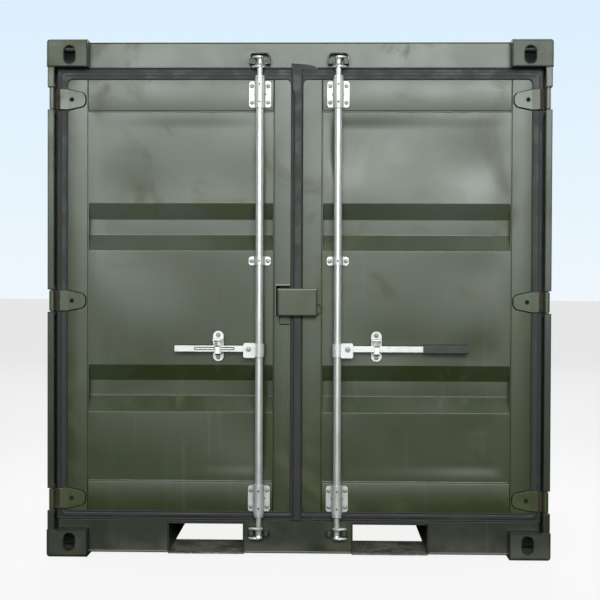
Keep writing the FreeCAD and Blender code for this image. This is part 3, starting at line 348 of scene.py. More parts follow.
class Finish:
    """A material under construction, with a few named steps over its node tree."""

    def __init__(self, name, roughness=0.5, metallic=0.0, specular=0.5):
        self.material = bpy.data.materials.new(name)
        self.material.use_nodes = True
        self.tree = self.material.node_tree
        self.shader = self.tree.nodes["Principled BSDF"]
        self.shader.inputs["Roughness"].default_value = roughness
        self.shader.inputs["Metallic"].default_value = metallic
        self.shader.inputs["Specular IOR Level"].default_value = specular
        self.place = self.tree.nodes.new("ShaderNodeTexCoord").outputs["Object"]
        self.normal = None

    def feed(self, socket, value):
        if isinstance(value, bpy.types.NodeSocket):
            self.tree.links.new(value, socket)
        elif isinstance(value, tuple) and len(value) == 3 and socket.type == "RGBA":
            socket.default_value = (*value, 1.0)
        else:
            socket.default_value = value

    def node(self, kind, inputs, **settings):
        """The outputs of a new node, its settings made and its inputs fed."""
        made = self.tree.nodes.new("ShaderNode" + kind)
        for setting, value in settings.items():
            setattr(made, setting, value)
        for socket, value in inputs.items():
            self.feed(made.inputs[socket], value)
        return made.outputs

    def noise(self, scale, detail=3.0, roughness=0.5, stretch=None, warp=0.0):
        """Soft noise, on coordinates that may be stretched by a scale for each axis."""
        place = self.place
        if stretch:
            place = self.node("Mapping", {"Vector": place, "Scale": stretch})["Vector"]
        return self.node("TexNoise", {
            "Vector": place, "Scale": scale, "Detail": detail, "Roughness": roughness,
            "Distortion": warp})["Fac"]

    def cells(self, scale):
        """The distance from the nearest of many scattered points."""
        return self.node("TexVoronoi", {"Vector": self.place, "Scale": scale})["Distance"]

    def ramp(self, value, low, high, to_low=0.0, to_high=1.0):
        """A value between two levels, smoothed and clamped."""
        return self.node("MapRange", {
            "Value": value, "From Min": low, "From Max": high, "To Min": to_low,
            "To Max": to_high}, interpolation_type="SMOOTHSTEP")["Result"]

    def combine(self, operation, a, b):
        return self.node("Math", {0: a, 1: b}, operation=operation)["Value"]

    def times(self, a, b):
        return self.combine("MULTIPLY", a, b)

    def axis(self, letter):
        return self.node("SeparateXYZ", {"Vector": self.place})[letter]

    def height(self, low, high):
        """0 at a low level and 1 at a high one, by the object's own Z."""
        return self.ramp(self.axis("Z"), low, high)

    def band(self, near, far, soft):
        """1 where the distance from the middle plane, |x|, is between two values."""
        out = self.combine("ABSOLUTE", self.axis("X"), 0.0)
        rise = self.ramp(out, near - soft, near + soft)
        return self.times(rise, self.ramp(out, far - soft, far + soft, 1.0, 0.0))

    def mix(self, amount, a, b):
        return self.node(
            "Mix", {"Factor": amount, COLOUR_A: a, COLOUR_B: b}, data_type="RGBA")[COLOUR_OUT]

    def stain(self, colour, tone, value, low, high, most=1.0):
        """A tone laid over a colour, the more so as a value rises between two levels."""
        return self.mix(self.ramp(value, low, high, 0.0, most), colour, tone)

    def edges(self, radius, low=0.04, high=0.25):
        """Where the rounded normal leaves the face's own normal: 1 on edges, 0 on faces."""
        rounded = self.node("Bevel", {"Radius": radius}, samples=4)["Normal"]
        face = self.node("NewGeometry", {})["True Normal"]
        dot = self.node("VectorMath", {0: rounded, 1: face}, operation="DOT_PRODUCT")["Value"]
        return self.ramp(self.combine("SUBTRACT", 1.0, dot), low, high)

    def relief(self, value, distance, strength=1.0):
        """Add a bump over the ones before."""
        inputs = {"Strength": strength, "Distance": distance, "Height": value}
        if self.normal is not None:
            inputs["Normal"] = self.normal
        self.normal = self.node("Bump", inputs)["Normal"]

    def done(self, colour, roughness=None):
        looks = {"Base Color": colour, "Roughness": roughness, "Normal": self.normal}
        for socket, value in looks.items():
            if value is not None:
                self.feed(self.shader.inputs[socket], value)
        return self.material


DEEP_GREEN = (0.030, 0.040, 0.015)
FADED_AND_LIT_GREEN = (0.076, 0.092, 0.072)
GREY_GREEN = (0.021, 0.026, 0.017)
OLIVE = (0.052, 0.050, 0.012)
PRIMER = (0.24, 0.25, 0.21)
DUST = (0.20, 0.19, 0.15)
RUST = (0.13, 0.055, 0.020)
EDGE_SHADE = (0.010, 0.013, 0.010)
KNUCKLE_SHADE_BROWN = (0.020, 0.014, 0.006)
BARE_STEEL = (0.36, 0.36, 0.34)
KNUCKLES = (1.046, 1.070)    # the stretch of |x| over the hinge knuckles that is painted in shade


def green_paint(name, wear=0.0, cast=0.0, roughness=0.36, tone=1.0, knuckle_shade=False,
                bare_and_highlight=0.0, base=DEEP_GREEN, dark_edges=0.0):
    """Sprayed gloss paint: paler towards the top as painted light from above, clouded, streaked and
    dusty at the foot.
    """
    paint = Finish(name)
    deep = tuple(tone * value for value in base)
    faded_and_lit = tuple(tone * value for value in FADED_AND_LIT_GREEN)
    clouds = paint.noise(1.7, detail=4.0, roughness=0.55, warp=0.4)
    patches = paint.noise(4.5, detail=3.0, roughness=0.6)
    # Painted light: the colour grows paler with height, standing in for the sheen of the high
    # lamps, broken up by clouds of chalking.
    top_light_and_chalk = paint.combine("ADD", paint.height(0.2, 2.3), paint.combine("SUBTRACT", clouds, 0.5))
    colour = paint.stain(deep, faded_and_lit, top_light_and_chalk, 0.1, 1.1)
    smudge = paint.ramp(paint.noise(2.6, detail=5.0, roughness=0.62, warp=0.8), 0.53, 0.70)
    colour = paint.mix(paint.times(smudge, 0.6), colour, OLIVE)
    streaks = paint.noise(1.0, detail=4.0, roughness=0.7, stretch=(26.0, 26.0, 0.7))
    colour = paint.stain(colour, faded_and_lit, streaks, 0.56, 0.72, 0.25)
    grit = paint.noise(190.0, detail=2.0, roughness=0.7)
    colour = paint.stain(colour, DUST, grit, 0.62, 0.80, 0.12)
    low = paint.combine("SUBTRACT", 1.0, paint.height(0.0, 0.12))
    soil = paint.times(low, paint.ramp(patches, 0.35, 0.65))
    colour = paint.mix(paint.times(soil, 0.28), colour, DUST)
    shine = paint.ramp(patches, 0.3, 0.7, roughness - 0.05, roughness + 0.05)
    # Painted shade: a dark brown band over the hinge knuckles, standing in for the shadowed recess
    # behind them.
    if knuckle_shade:
        knuckle_shade_band = paint.band(*KNUCKLES, 0.004)
        smear = paint.ramp(paint.noise(70.0, detail=4.0), 0.25, 0.6, 0.7, 1.0)
        colour = paint.mix(paint.times(knuckle_shade_band, smear), colour, KNUCKLE_SHADE_BROWN)
    if wear:
        rubbed = paint.noise(55.0, detail=4.0, roughness=0.7)
        edge = paint.times(paint.edges(0.004), paint.ramp(rubbed, 0.42, 0.62))
        colour = paint.mix(paint.times(edge, wear), colour, PRIMER)
    # Painted shade: a near-black line along every edge, standing in for the shaded sides and gaps
    # beside the castings and frame.
    if dark_edges:
        edge_shade_line = paint.edges(0.010, 0.004, 0.05)
        colour = paint.mix(paint.times(edge_shade_line, dark_edges), colour, EDGE_SHADE)
        shine = paint.combine("ADD", shine, paint.times(edge_shade_line, 0.45))
    shine = paint.combine("ADD", shine, paint.times(smudge, 0.17))
    if knuckle_shade:
        shine = paint.combine("ADD", shine, paint.times(knuckle_shade_band, 0.5))
    # A pale grey mixed over all: painted highlight on the rims, and primer showing through on the
    # sill lip.
    if bare_and_highlight:
        colour = paint.mix(bare_and_highlight, colour, PRIMER)
    if cast:
        paint.relief(paint.noise(300.0, detail=3.0, roughness=0.6), 0.0012, cast)
    paint.relief(paint.noise(95.0, detail=2.0), 0.0004, 0.3)
    return paint.done(colour, shine)


def keeper_paint(name):
    """Dark greasy paint on cast steel, rubbed bright where the cams slide."""
    paint = Finish(name)
    dark_mottle = paint.noise(60.0, detail=5.0, roughness=0.65)
    colour = paint.stain((0.016, 0.019, 0.010), (0.045, 0.050, 0.036), dark_mottle, 0.35, 0.7)
    rubbed = paint.ramp(paint.noise(95.0, detail=3.0), 0.56, 0.70)
    edge = paint.times(paint.edges(0.005, 0.02, 0.15), rubbed)
    paint.feed(paint.shader.inputs["Metallic"], edge)
    paint.relief(paint.noise(260.0, detail=3.0), 0.0010, 0.6)
    return paint.done(paint.mix(edge, colour, BARE_STEEL), paint.ramp(dark_mottle, 0.3, 0.7, 0.32, 0.6))


def galvanised(name, bright=1.0, roughness=0.33, metallic=0.92):
    """Hot-dip zinc: a spangle of cells in slightly different greys, runs and dull smears."""
    zinc = Finish(name, metallic=metallic)
    spangle = zinc.ramp(zinc.cells(230.0), 0.0, 0.9)
    smear = zinc.noise(9.0, detail=4.0, roughness=0.6, warp=0.6)
    light = tuple(bright * value for value in (0.74, 0.745, 0.73))
    dull = tuple(bright * value for value in (0.47, 0.48, 0.465))
    colour = zinc.stain(light, dull, spangle, 0.1, 0.9, 0.3)
    colour = zinc.stain(colour, dull, smear, 0.5, 0.72, 0.6)
    specks = zinc.noise(45.0, detail=5.0, roughness=0.7)
    colour = zinc.stain(colour, (0.12, 0.11, 0.095), specks, 0.64, 0.76, 0.45)
    zinc.relief(zinc.noise(120.0, detail=3.0), 0.0003, 0.25)
    return zinc.done(colour, zinc.ramp(smear, 0.3, 0.7, roughness - 0.06, roughness + 0.1))


def painted_shade_fill(name):
    """Near-black painted shade for recesses, gaps and holes, with brown crumbs and no shine."""
    dark_fill = Finish(name, roughness=0.95, specular=0.1)
    crumbs = dark_fill.noise(240.0, detail=4.0, roughness=0.7)
    colour = dark_fill.stain((0.008, 0.009, 0.006), (0.040, 0.034, 0.022), crumbs, 0.4, 0.75)
    dark_fill.relief(crumbs, 0.0006, 0.8)
    return dark_fill.done(colour, dark_fill.ramp(crumbs, 0.3, 0.7, 0.85, 1.0))


def rubber(name, tone=0.018, roughness=0.5):
    """Black extruded rubber with a bloom of dust and fine pores."""
    seal = Finish(name, specular=0.45)
    bloom = seal.noise(14.0, detail=5.0, roughness=0.65)
    grit = seal.noise(420.0, detail=2.0)
    base, dusty = (tone, tone, tone * 1.02), (tone * 3.0, tone * 2.9, tone * 2.7)
    colour = seal.stain(base, dusty, bloom, 0.45, 0.8, 0.6)
    seal.relief(grit, 0.0004, 0.4)
    return seal.done(colour, seal.ramp(bloom, 0.3, 0.7, roughness - 0.1, roughness + 0.15))


def dusty_steel(name):
    """Painted steel under dried mud: brown-grey films, dark wet edges and specks of rust."""
    steel = Finish(name)
    film = steel.noise(11.0, detail=6.0, roughness=0.65, warp=0.5)
    colour = steel.stain(GREY_GREEN, (0.150, 0.138, 0.118), film, 0.32, 0.56)
    colour = steel.stain(colour, RUST, steel.noise(38.0, detail=4.0), 0.58, 0.72, 0.6)
    crumbs = steel.noise(75.0, detail=4.0, roughness=0.7)
    colour = steel.stain(colour, (0.40, 0.38, 0.33), crumbs, 0.55, 0.64, 0.8)
    steel.relief(film, 0.002, 0.5)
    return steel.done(colour, steel.ramp(film, 0.3, 0.7, 0.5, 0.85))


def plywood(name):
    """Varnished plywood: long grain rings, darker scuffs and soiling from wheels."""
    wood = Finish(name)
    grain = wood.noise(7.0, detail=6.0, roughness=0.6, stretch=(9.0, 0.6, 9.0), warp=1.2)
    colour = wood.stain((0.17, 0.085, 0.036), (0.36, 0.21, 0.10), grain, 0.3, 0.7)
    scuff = wood.noise(3.0, detail=5.0, roughness=0.7)
    colour = wood.stain(colour, (0.075, 0.055, 0.04), scuff, 0.52, 0.75, 0.6)
    wood.relief(grain, 0.0012, 0.5)
    return wood.done(colour, wood.ramp(scuff, 0.3, 0.7, 0.4, 0.7))


def studio_floor(name):
    """A pale matt floor, lit from within as a light table is, and a little duller far away."""
    floor = Finish(name, roughness=0.8, specular=0.1)
    distance = floor.node(
        "VectorMath", {0: floor.place, 1: (0.0, -1.5, 0.0)}, operation="DISTANCE")["Value"]
    glow = floor.stain((0.888, 0.888, 0.882), (0.795, 0.797, 0.798), distance, 1.2, 5.5)
    floor.feed(floor.shader.inputs["Emission Color"], glow)
    floor.shader.inputs["Emission Strength"].default_value = 1.0
    return floor.done((0.03, 0.03, 0.03))


paint_frame = green_paint("green_paint_frame", base=GREY_GREEN, dark_edges=0.8)
paint_cast = green_paint(
    "green_paint_castings", cast=0.8, roughness=0.50, base=GREY_GREEN, dark_edges=0.85)
paint_sheet = green_paint("green_paint_sheet", roughness=0.33)
paint_door = green_paint("green_paint_door", wear=0.12)
paint_fitting = green_paint("green_paint_fittings", wear=0.7)
paint_hinge = green_paint("green_paint_hinges", wear=0.8, tone=1.25, knuckle_shade=True)
# Painted highlight: the rims are mixed pale grey, standing in for the light caught along the top
# edges of the lock box and staple.
rim_highlight_paint = green_paint("green_paint_rims", wear=0.9, roughness=0.30, bare_and_highlight=0.8)
paint_lip = green_paint("green_paint_lips", wear=0.6, roughness=0.36, bare_and_highlight=0.55, base=GREY_GREEN)
paint_staple = green_paint("green_paint_staple", wear=0.7, roughness=0.52, tone=0.9)
paint_keeper = keeper_paint("worn_keeper_paint")
zinc = galvanised("galvanised_steel", roughness=0.39)
zinc_bar = galvanised("galvanised_bar", bright=0.86, roughness=0.38, metallic=0.62)
zinc_bracket = galvanised("galvanised_brackets", bright=0.80, roughness=0.42, metallic=0.50)
zinc_plate = galvanised("galvanised_plate", bright=0.90, roughness=0.46, metallic=0.42)
zinc_bolt = galvanised("zinc_plated_bolts", bright=0.46, roughness=0.5, metallic=0.6)
# Painted shade: this near-black fill is laid where shade falls, in gaps, recesses and holes.
dark_mottle = painted_shade_fill("painted_shade_fill")
seal_rubber = rubber("door_seal_rubber", tone=0.013, roughness=0.56)
grip_rubber = rubber("handle_grip_rubber", tone=0.024, roughness=0.55)
strap_steel = dusty_steel("dusty_strap_steel")
deck_wood = plywood("varnished_plywood")


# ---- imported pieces: finish and softened edges ----
FINISHES = (
    (paint_cast, 0.0030, ("corner_castings_bottom", "corner_castings_top")),
    (paint_frame, 0.0020, (
        "front_posts", "rear_posts", "door_header", "door_sill", "rear_bottom_rail",
        "top_rails", "bottom_side_rails", "cross_members", "fork_pocket_sides",
        "fork_pocket_ceilings")),
    (strap_steel, 0.0010, ("fork_pocket_straps",)),
    (paint_hinge, 0.0050, both("hinge_blades")),
    (paint_fitting, 0.0015, ("hinge_lugs",)),
    (paint_staple, 0.0015, ("lock_staple",)),
    (paint_fitting, 0.0040, ("lock_box",)),
    (paint_keeper, 0.0030, ("header_keepers", "sill_keepers")),
    (zinc_bar, 0.0012, both("lock_bar")),
    (zinc_bracket, 0.0012, both("bar_brackets")),
    (zinc, 0.0012, both("bar_cams", "handle_catch")),
    (zinc_plate, 0.0012, both("handle", "handle_hub", "handle_retainer")),
    (seal_rubber, 0.0008, both("door_gasket")),
    (grip_rubber, 0.0030, ("right_handle_grip",)),
    (paint_sheet, 0.0, (
        "side_wall_left", "side_wall_right", "rear_wall", "roof_panel") + both("door_panel")),
    (paint_door, 0.0, both("door_frame")),
    (deck_wood, 0.0, ("floor_boards",)),
)
KEPT_TRIANGLES = ("rear_bottom_rail",)    # pierced faces that don't join into one


def soften_edges(piece, width):
    """Merge the loose triangles, join flat ones and round every hard edge."""
    weld_mod = piece.modifiers.new("merge", "WELD")
    weld_mod.merge_threshold = 0.00002
    if piece.name not in KEPT_TRIANGLES:
        flat = piece.modifiers.new("flats", "DECIMATE")
        flat.decimate_type = "DISSOLVE"
        flat.angle_limit = math.radians(1.0)
    bevel = piece.modifiers.new("edges", "BEVEL")
    bevel.width = width
    bevel.segments = 2
    bevel.limit_method = "ANGLE"
    bevel.angle_limit = math.radians(32.0)
    shade = piece.modifiers.new("shading", "WEIGHTED_NORMAL")
    shade.keep_sharp = True


def finish_packed_pieces():
    """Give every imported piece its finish, and rounded edges where a width is set."""
    for material, edge, names in FINISHES:
        for name in names:
            piece = nodes[name]
            piece.data.materials.clear()
            piece.data.materials.append(material)
            if edge:
                soften_edges(piece, edge)


# ---- doors ----
TUBE_CORNER = 0.006
JOINT = 0.002        # open joint between a rail and a tube
SHEET = 0.002        # thickness of the pressed sheets
SEAM_DEPTH = 0.006   # from a door's face back to the panel's edge
PLATE = 0.008        # thickness of the brackets' wings and of the staple plate
SUNK = 0.002         # how far the back of a laid-on strip is sunk in what it lies on
BEAD_LIFT = 0.0006   # how far the middle of a painted-shade bead stands off its door's face


def door_tubes(name):
    """Two upright tubes with two rails between them, their edges rounded as rolled tube is."""
    low, high = corners(name + "_door_frame")
    panel_low, panel_high = corners(name + "_door_panel")
    bars = [
        rounded_bar((x0, low[1], low[2]), (x1, high[1], high[2]), 2, TUBE_CORNER)
        for x0, x1 in ((low[0], panel_low[0]), (panel_high[0], high[0]))]
    x0, x1 = panel_low[0] + JOINT, panel_high[0] - JOINT
    bars += [
        rounded_bar((x0, low[1], z0), (x1, high[1], z1), 0, TUBE_CORNER)
        for z0, z1 in ((low[2], panel_low[2]), (panel_high[2], high[2]))]
    make_piece(
        name + "_door_tubes", bars, paint_door, name + "_door",
        replaces=[name + "_door_frame"])


def sheet_corners(node, run, depth, outward):
    """The outer face of a corrugated sheet as (place, depth) corners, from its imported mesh."""
    points = vertices(node)
    places = np.unique(np.round(points[:, run], 4))
    faces = [
        (points[np.abs(points[:, run] - place) < 1e-3, depth] * outward).max() * outward
        for place in places
    ]
    return np.stack([places, faces], axis=1)


def pressed_sheet(name, node, body, run, across, outward, bend, dent, grain=(0.03, 0.05)):
    """A pressed sheet: its softened profile carried across, with shallow hollows in its flats.

    point = (place along the profile, place across, profile depth + hollows)
    dent is (count, size, depth, seed) and grain the grid's steps along and across the profile.
    """
    depth = 3 - run - across
    low, high = corners(node)
    profile = refined(softened(sheet_corners(node, run, depth, outward), bend), grain[0])
    lines = np.linspace(low[across], high[across], int((high[across] - low[across]) / grain[1]) + 2)
    s, t = np.meshgrid(profile[:, 0], lines, indexing="ij")
    front = np.empty(s.shape + (3,))
    front[..., run], front[..., across] = s, t
    front[..., depth] = profile[:, 1][:, None] + outward * hollows(s, t, *dent)
    skin = shell(front, front[..., depth] - outward * SHEET, depth)
    make_piece(name, [skin], paint_sheet, body, replaces=[node])


def door_skin(name, side):
    """The door's panel, knocked about more than the walls are."""
    pressed_sheet(
        name + "_door_skin", name + "_door_panel", name + "_door", run=2, across=0, outward=-1,
        bend=0.005, dent=(34, 0.15, 0.0066, 40 + side), grain=(0.014, 0.02))


def door_welds(name):
    """Runs of weld and sealant round the panel, and a tack at each of its corners."""
    face = face_of(name + "_door_frame")
    low, high = corners(name + "_door_panel")
    seam, tack_depth = face + SEAM_DEPTH, face + 0.0022
    shapes = []
    for k, z in enumerate((low[2], high[2])):
        path = [(low[0], seam, z), (high[0], seam, z)]
        shapes.append(weld(path, FRONT, width=0.010, rise=0.003, seed=k + 5))
    for k, x in enumerate((low[0], high[0])):
        path = [(x, seam, low[2]), (x, seam, high[2])]
        shapes.append(weld(path, FRONT, width=0.006, rise=0.002, seed=k + 9))
        for m, z in enumerate((low[2], high[2])):
            tack = [(x - 0.006, tack_depth, z), (x + 0.006, tack_depth, z)]
            shapes.append(weld(tack, FRONT, width=0.011, rise=0.0030, seed=20 + k * 2 + m))
    make_piece(name + "_door_welds", shapes, paint_door, name + "_door")


SEAL_LIP = 0.0037        # thickness of the seal's lip on the door's face
SEAL_OVERLAP = 0.012     # how far that lip reaches over the door's tubes
SEAM_MIDDLE = -0.009     # where the two doors' seals meet
SEAM_HALF_GAP = 0.003
SEAL_RIBS = ((0.07, 0.006, 0.0022), (0.50, 0.020, 0.0016), (0.93, 0.006, 0.0022))


def door_seal_ribs(name, side):
    """Three raised ribs that run round a door's seal, the middle one wide and low.

    Each rib is (its place as a share of the seal's width, its own width, its rise). The seal is
    as wide as the gap that it fills, which differs at the hinges, the seam, the foot and the head.
    """
    low, high = corners(name + "_door_frame")
    gasket_low, gasket_high = corners(name + "_door_gasket")
    hinge_edge, hinge_tube, seam_tube = (
        (gasket_low[0], low[0], high[0]) if side < 0 else (gasket_high[0], high[0], low[0]))
    seam = SEAM_MIDDLE + side * SEAM_HALF_GAP
    at_hinges = abs(hinge_edge - hinge_tube) + SEAL_OVERLAP
    at_seam = abs(seam_tube - seam) + SEAL_OVERLAP
    at_foot = low[2] - gasket_low[2] + SEAL_OVERLAP
    at_head = gasket_high[2] - high[2] + SEAL_OVERLAP
    shapes = []
    for share, width, rise in SEAL_RIBS:
        left, right = sorted(
            (hinge_edge - side * (at_hinges * share), seam + side * (at_seam * share)))
        path = rectangle_path(
            (left, gasket_low[2] + at_foot * share), (right, gasket_high[2] - at_head * share),
            low[1] - SEAL_LIP, 0.006 + 0.02 * share)
        shapes.append(swept(path, FRONT, oval(width, rise, 12), closed=True))
    make_piece(name + "_seal_ribs", shapes, seal_rubber, name + "_door")


def seal_flap():
    """The flap over the seam: a crowned strip whose top end stands up in a sloping peak.

    Strip depth = face - crown * sqrt(1 - |2 v - 1|^3), over v across the strip. The peak's height
    falls along its run as (1 - 0.35 u)(1 - u^7), and it leans forward over the header.
    """
    low, high = corners("right_door_gasket")
    left, right = low[0], corners("right_door_frame")[0][0] + SEAL_OVERLAP
    face = low[1]
    z = np.linspace(low[2] + 0.001, high[2] - 0.001, 90)
    v = np.linspace(0, 1, 13)
    flare, flare_foot = 0.010, high[2] - 0.105    # the strip widens by this much near its top
    widen = flare * np.clip((z - flare_foot) / 0.015, 0, 1)
    x = (left + 0.0005 - widen)[:, None] * (1 - v) + (right - 0.001) * v
    crown = 0.0035 * np.sqrt(np.clip(1 - np.abs(2 * v - 1) ** 3, 0, 1))[None, :] * np.ones_like(x)
    front = np.stack([x, face - 0.0003 - crown, np.broadcast_to(z[:, None], x.shape)], axis=-1)
    strip = shell(front, face + SUNK)
    header_face = face_of("door_header")
    run, rise = np.linspace(0, 1, 25), np.linspace(0, 1, 7)
    height = 0.024 * (1 - 0.35 * run) * (1 - run ** 7) + 0.001
    along = left - flare + 0.118 * run[:, None] * np.ones(7)
    top = high[2] - 0.010 + (height + 0.008)[:, None] * rise
    lean = header_face - 0.0035 - 0.003 * np.sin(rise * math.pi) * (1 - run[:, None])
    peak = shell(np.stack([along, lean, top], axis=-1), header_face - 0.0008)
    make_piece("right_seal_flap", [strip, peak], seal_rubber, "right_door")


BRACKET_BOLT = 0.036     # from a bracket's middle to its bolts, across and up
TALL_BRACKET = 0.08      # brackets higher than this have four bolts and two sleeve holes
SLEEVE_HOLES = (2.027, 0.256)    # middle heights of those holes, upper and lower brackets


def bracket_bolts(name):
    """Round heads on the wings of each bracket: four on the tall ones, two on the short one."""
    shapes = []
    for low, high in clusters(name + "_bar_brackets", 2):
        middle = (low + high) / 2
        rows = (BRACKET_BOLT, -BRACKET_BOLT) if high[2] - low[2] > TALL_BRACKET else (0.0,)
        for dz in rows:
            for dx in (-BRACKET_BOLT, BRACKET_BOLT):
                centre = (middle[0] + dx, high[1] - PLATE, middle[2] + dz)
                shapes += dome_head(centre, FRONT, 0.0075, 0.005)
    make_piece(name + "_bracket_bolts", shapes, zinc_bolt, name + "_door")


def retainer_bolts(name):
    """Round heads near both ends of each handle retainer."""
    low, high = corners(name + "_handle_retainer")
    from_end, plate = 0.017, 0.006
    shapes = []
    for z in (low[2] + from_end, high[2] - from_end):
        shapes += dome_head(((low[0] + high[0]) / 2, high[1] - plate, z), FRONT, 0.008, 0.006)
    make_piece(name + "_retainer_bolts", shapes, zinc_bolt, name + "_door")


def hub_bolt(name, side):
    """The low round head of the bolt that the handle tilts on."""
    pivot = 0.045    # from the bar's middle out to the bolt
    centre = (
        centre_of(name + "_lock_bar")[0] + side * pivot, face_of(name + "_handle_hub"),
        centre_of(name + "_handle")[2])
    shapes = dome_head(centre, FRONT, 0.0085, 0.0026)
    make_piece(name + "_hub_bolt", shapes, zinc_bolt, name + "_bar")


def sleeve_pins(name):
    """Near-black pins sunk in the holes of the brackets' sleeves, two in a tall one and one in the
    short: painted shade of the holes.
    """
    x = centre_of(name + "_lock_bar")[0]
    profile = [(0, 0), (0.0038, 0), (0.0038, 0.0010), (0.0030, 0.0013), (0, 0.0009)]
    shapes = []
    for low, high in clusters(name + "_bar_brackets", 2):
        if high[2] - low[2] > TALL_BRACKET:
            middle = SLEEVE_HOLES[0] if low[2] > 1.0 else SLEEVE_HOLES[1]
            rows, sunk = (-0.038, 0.038), 0.0024
        else:
            middle, rows, sunk = (low[2] + high[2]) / 2, (0.0,), 0.0010
        for dz in rows:
            shapes.append(turned(profile, (x, low[1] + sunk, middle + dz), FRONT, count=16))
    make_piece(name + "_sleeve_pins", shapes, dark_mottle, name + "_door")


def hinge_plugs(name, side):
    """A plug weld in each hinge blade, a little sunk."""
    blade, from_tip = 0.012, 0.059    # the blade's thickness, and from its tip to the plug
    profile = [
        (0, 0), (0.010, 0), (0.0095, 0.0012), (0.007, 0.0006), (0.003, 0.0012), (0, 0.0014)]
    shapes = []
    for low, high in clusters(name + "_hinge_blades", 2):
        tip = high[0] if side < 0 else low[0]
        centre = (tip + side * from_tip, high[1] - blade, (low[2] + high[2]) / 2)
        shapes.append(turned(profile, centre, FRONT))
    # The plugs take the near-black fill: painted shade of the sunk plug welds.
    make_piece(name + "_hinge_plug_welds", shapes, dark_mottle, name + "_door")


def cast_plate(centre, reach, half_width, low, high):
    """A pointed oval plate, its rim rounded.

    half width at a share t of the reach = half_width * (1 - 0.85 |t|^1.7), closed by the sine of
    the angle round the outline.
    """
    soften = 0.003
    angle = np.linspace(0, 2 * math.pi, 48, endpoint=False)
    along = np.cos(angle)
    span = np.where(along > 0, reach[1], reach[0])
    across = np.sign(np.sin(angle)) * half_width * (1 - 0.85 * np.abs(along) ** 1.7)
    across = across * np.clip(np.abs(np.sin(angle)) * 3.0, 0, 1)
    outline = np.stack([along * span, across], axis=1)
    lengths = np.linalg.norm(outline, axis=1, keepdims=True)
    rows = []
    for z, inset in (
        (low, 1.0), (low, soften), (low + soften, 0.0), (high - soften, 0.0), (high, soften),
        (high, 1.0),
    ):
        ring = outline * np.clip(1 - inset / np.maximum(lengths, PARALLEL), 0, 1)
        rows.append(np.column_stack([
            centre[0] + ring[:, 0], centre[1] + ring[:, 1], np.full(len(ring), z)]))
    return surface(np.stack(rows), wrap_columns=True)


def cast_cams(name, side):
    """Forged cams: a waisted hub between a pointed two-way plate and a one-way plate."""
    x, y, _ = centre_of(name + "_lock_bar")
    hub, plate = 0.0155, 0.010
    shapes = []
    for k, (low, high) in enumerate(clusters(name + "_bar_cams", 2)):
        near, far = high[2] - plate, low[2]
        if k == 1:    # the upper cam is the lower one turned over
            near, far = far, near
        reach = (x - low[0], high[0] - x)
        one_way = (hub, reach[1]) if side > 0 else (reach[0], hub)
        shapes.append(cast_plate((x, y), reach, hub, near, near + plate))
        shapes.append(cast_plate((x, y), one_way, 0.013, far, far + plate))
        bottom, top = min(near, far) + 0.009, max(near, far) + 0.001
        z = np.linspace(bottom, top, 9)
        waist = hub - 0.0045 * np.sin((z - bottom) / (top - bottom) * math.pi)
        profile = [(0, z[0])] + list(zip(waist, z)) + [(0, z[-1])]
        shapes.append(turned(profile, (x, y, 0), Z, count=28))
    make_piece(
        name + "_cast_cams", shapes, zinc_bar, name + "_bar", crease=40.0,
        replaces=[name + "_bar_cams"])


def catch_lever(name):
    """A pressed catch: a barrel on the pin, a ridged hood below it and a narrow tongue.

    half width is interpolated down the lever; the ridge stands out by rise * (1 - |across|)
    """
    low, high = corners(name + "_handle_catch")
    x, barrel = (low[0] + high[0]) / 2, (high[1] - low[1]) / 2
    v, u = np.linspace(0, 1, 41), np.linspace(-1, 1, 15)
    half = np.interp(v, (0, 0.45, 0.58, 0.93, 1), (0.0085, 0.0138, 0.0085, 0.0080, 0.0045))
    ridge = np.interp(v, (0, 0.05, 0.42, 0.5, 1), (0, 0.0042, 0.0042, 0, 0))
    z = high[2] - 0.004 + (low[2] + 0.0005 - high[2] + 0.004) * v
    front = np.empty((len(v), len(u), 3))
    front[..., 0] = x + half[:, None] * u
    front[..., 1] = low[1] + 0.0045 - ridge[:, None] * (1 - np.abs(u))
    front[..., 2] = z[:, None]
    profile = [
        (0, low[0]), (barrel - 0.001, low[0]), (barrel, low[0] + 0.001),
        (barrel, high[0] - 0.001), (barrel - 0.001, high[0]), (0, high[0])]
    pivot = turned(profile, (0, (low[1] + high[1]) / 2, high[2] - barrel), X)
    make_piece(
        name + "_catch_lever", [shell(front, low[1] + 0.0068), pivot], zinc, name + "_catch",
        replaces=[name + "_handle_catch"])


def handle_groove_shade():
    """A near-black strip laid in the pressed groove of the left handle: painted shade of the
    groove.
    """
    low, high = corners("left_handle")
    z, half, from_tip, from_hub = (low[2] + high[2]) / 2, 0.0048, 0.0865, 0.0765
    loop = rectangle_path(
        (low[0] + from_tip, z - half), (high[0] - from_hub, z + half), low[1] + 0.0012, 0.0047,
        step=0.01)
    make_piece(
        "left_handle_groove_shade", [swept(loop, FRONT, oval(0.0034, 0.0003, 6), closed=True)],
        dark_mottle, "left_grab")


def lock_box_edges():
    """A half-round tab of plate welded beside the lock box, and the box's rolled upper rim, painted
    pale as a painted highlight along its top edge.
    """
    low, high = corners("lock_box")
    face = face_of("right_door_frame")
    angle = np.linspace(-math.pi / 2, math.pi / 2, 17)
    tab = np.stack([
        high[0] + 0.020 * np.cos(angle), low[2] + 0.030 + 0.022 * np.sin(angle)], axis=1)
    make_piece(
        "lock_box_tab", [bead(upright(tab, face - 0.004), 0.006, 0.0045)], paint_staple,
        "right_door")
    inset = 0.003
    rim = rounded_bar(
        (low[0] + inset, max(low[1] - 0.0012, cad_low[1] + 0.0002), high[2] - 0.0085),
        (high[0] - inset, low[1] + 0.006, high[2] - 0.0020), 0, 0.0030)
    make_piece("lock_box_rim", [rim], rim_highlight_paint, "right_door")


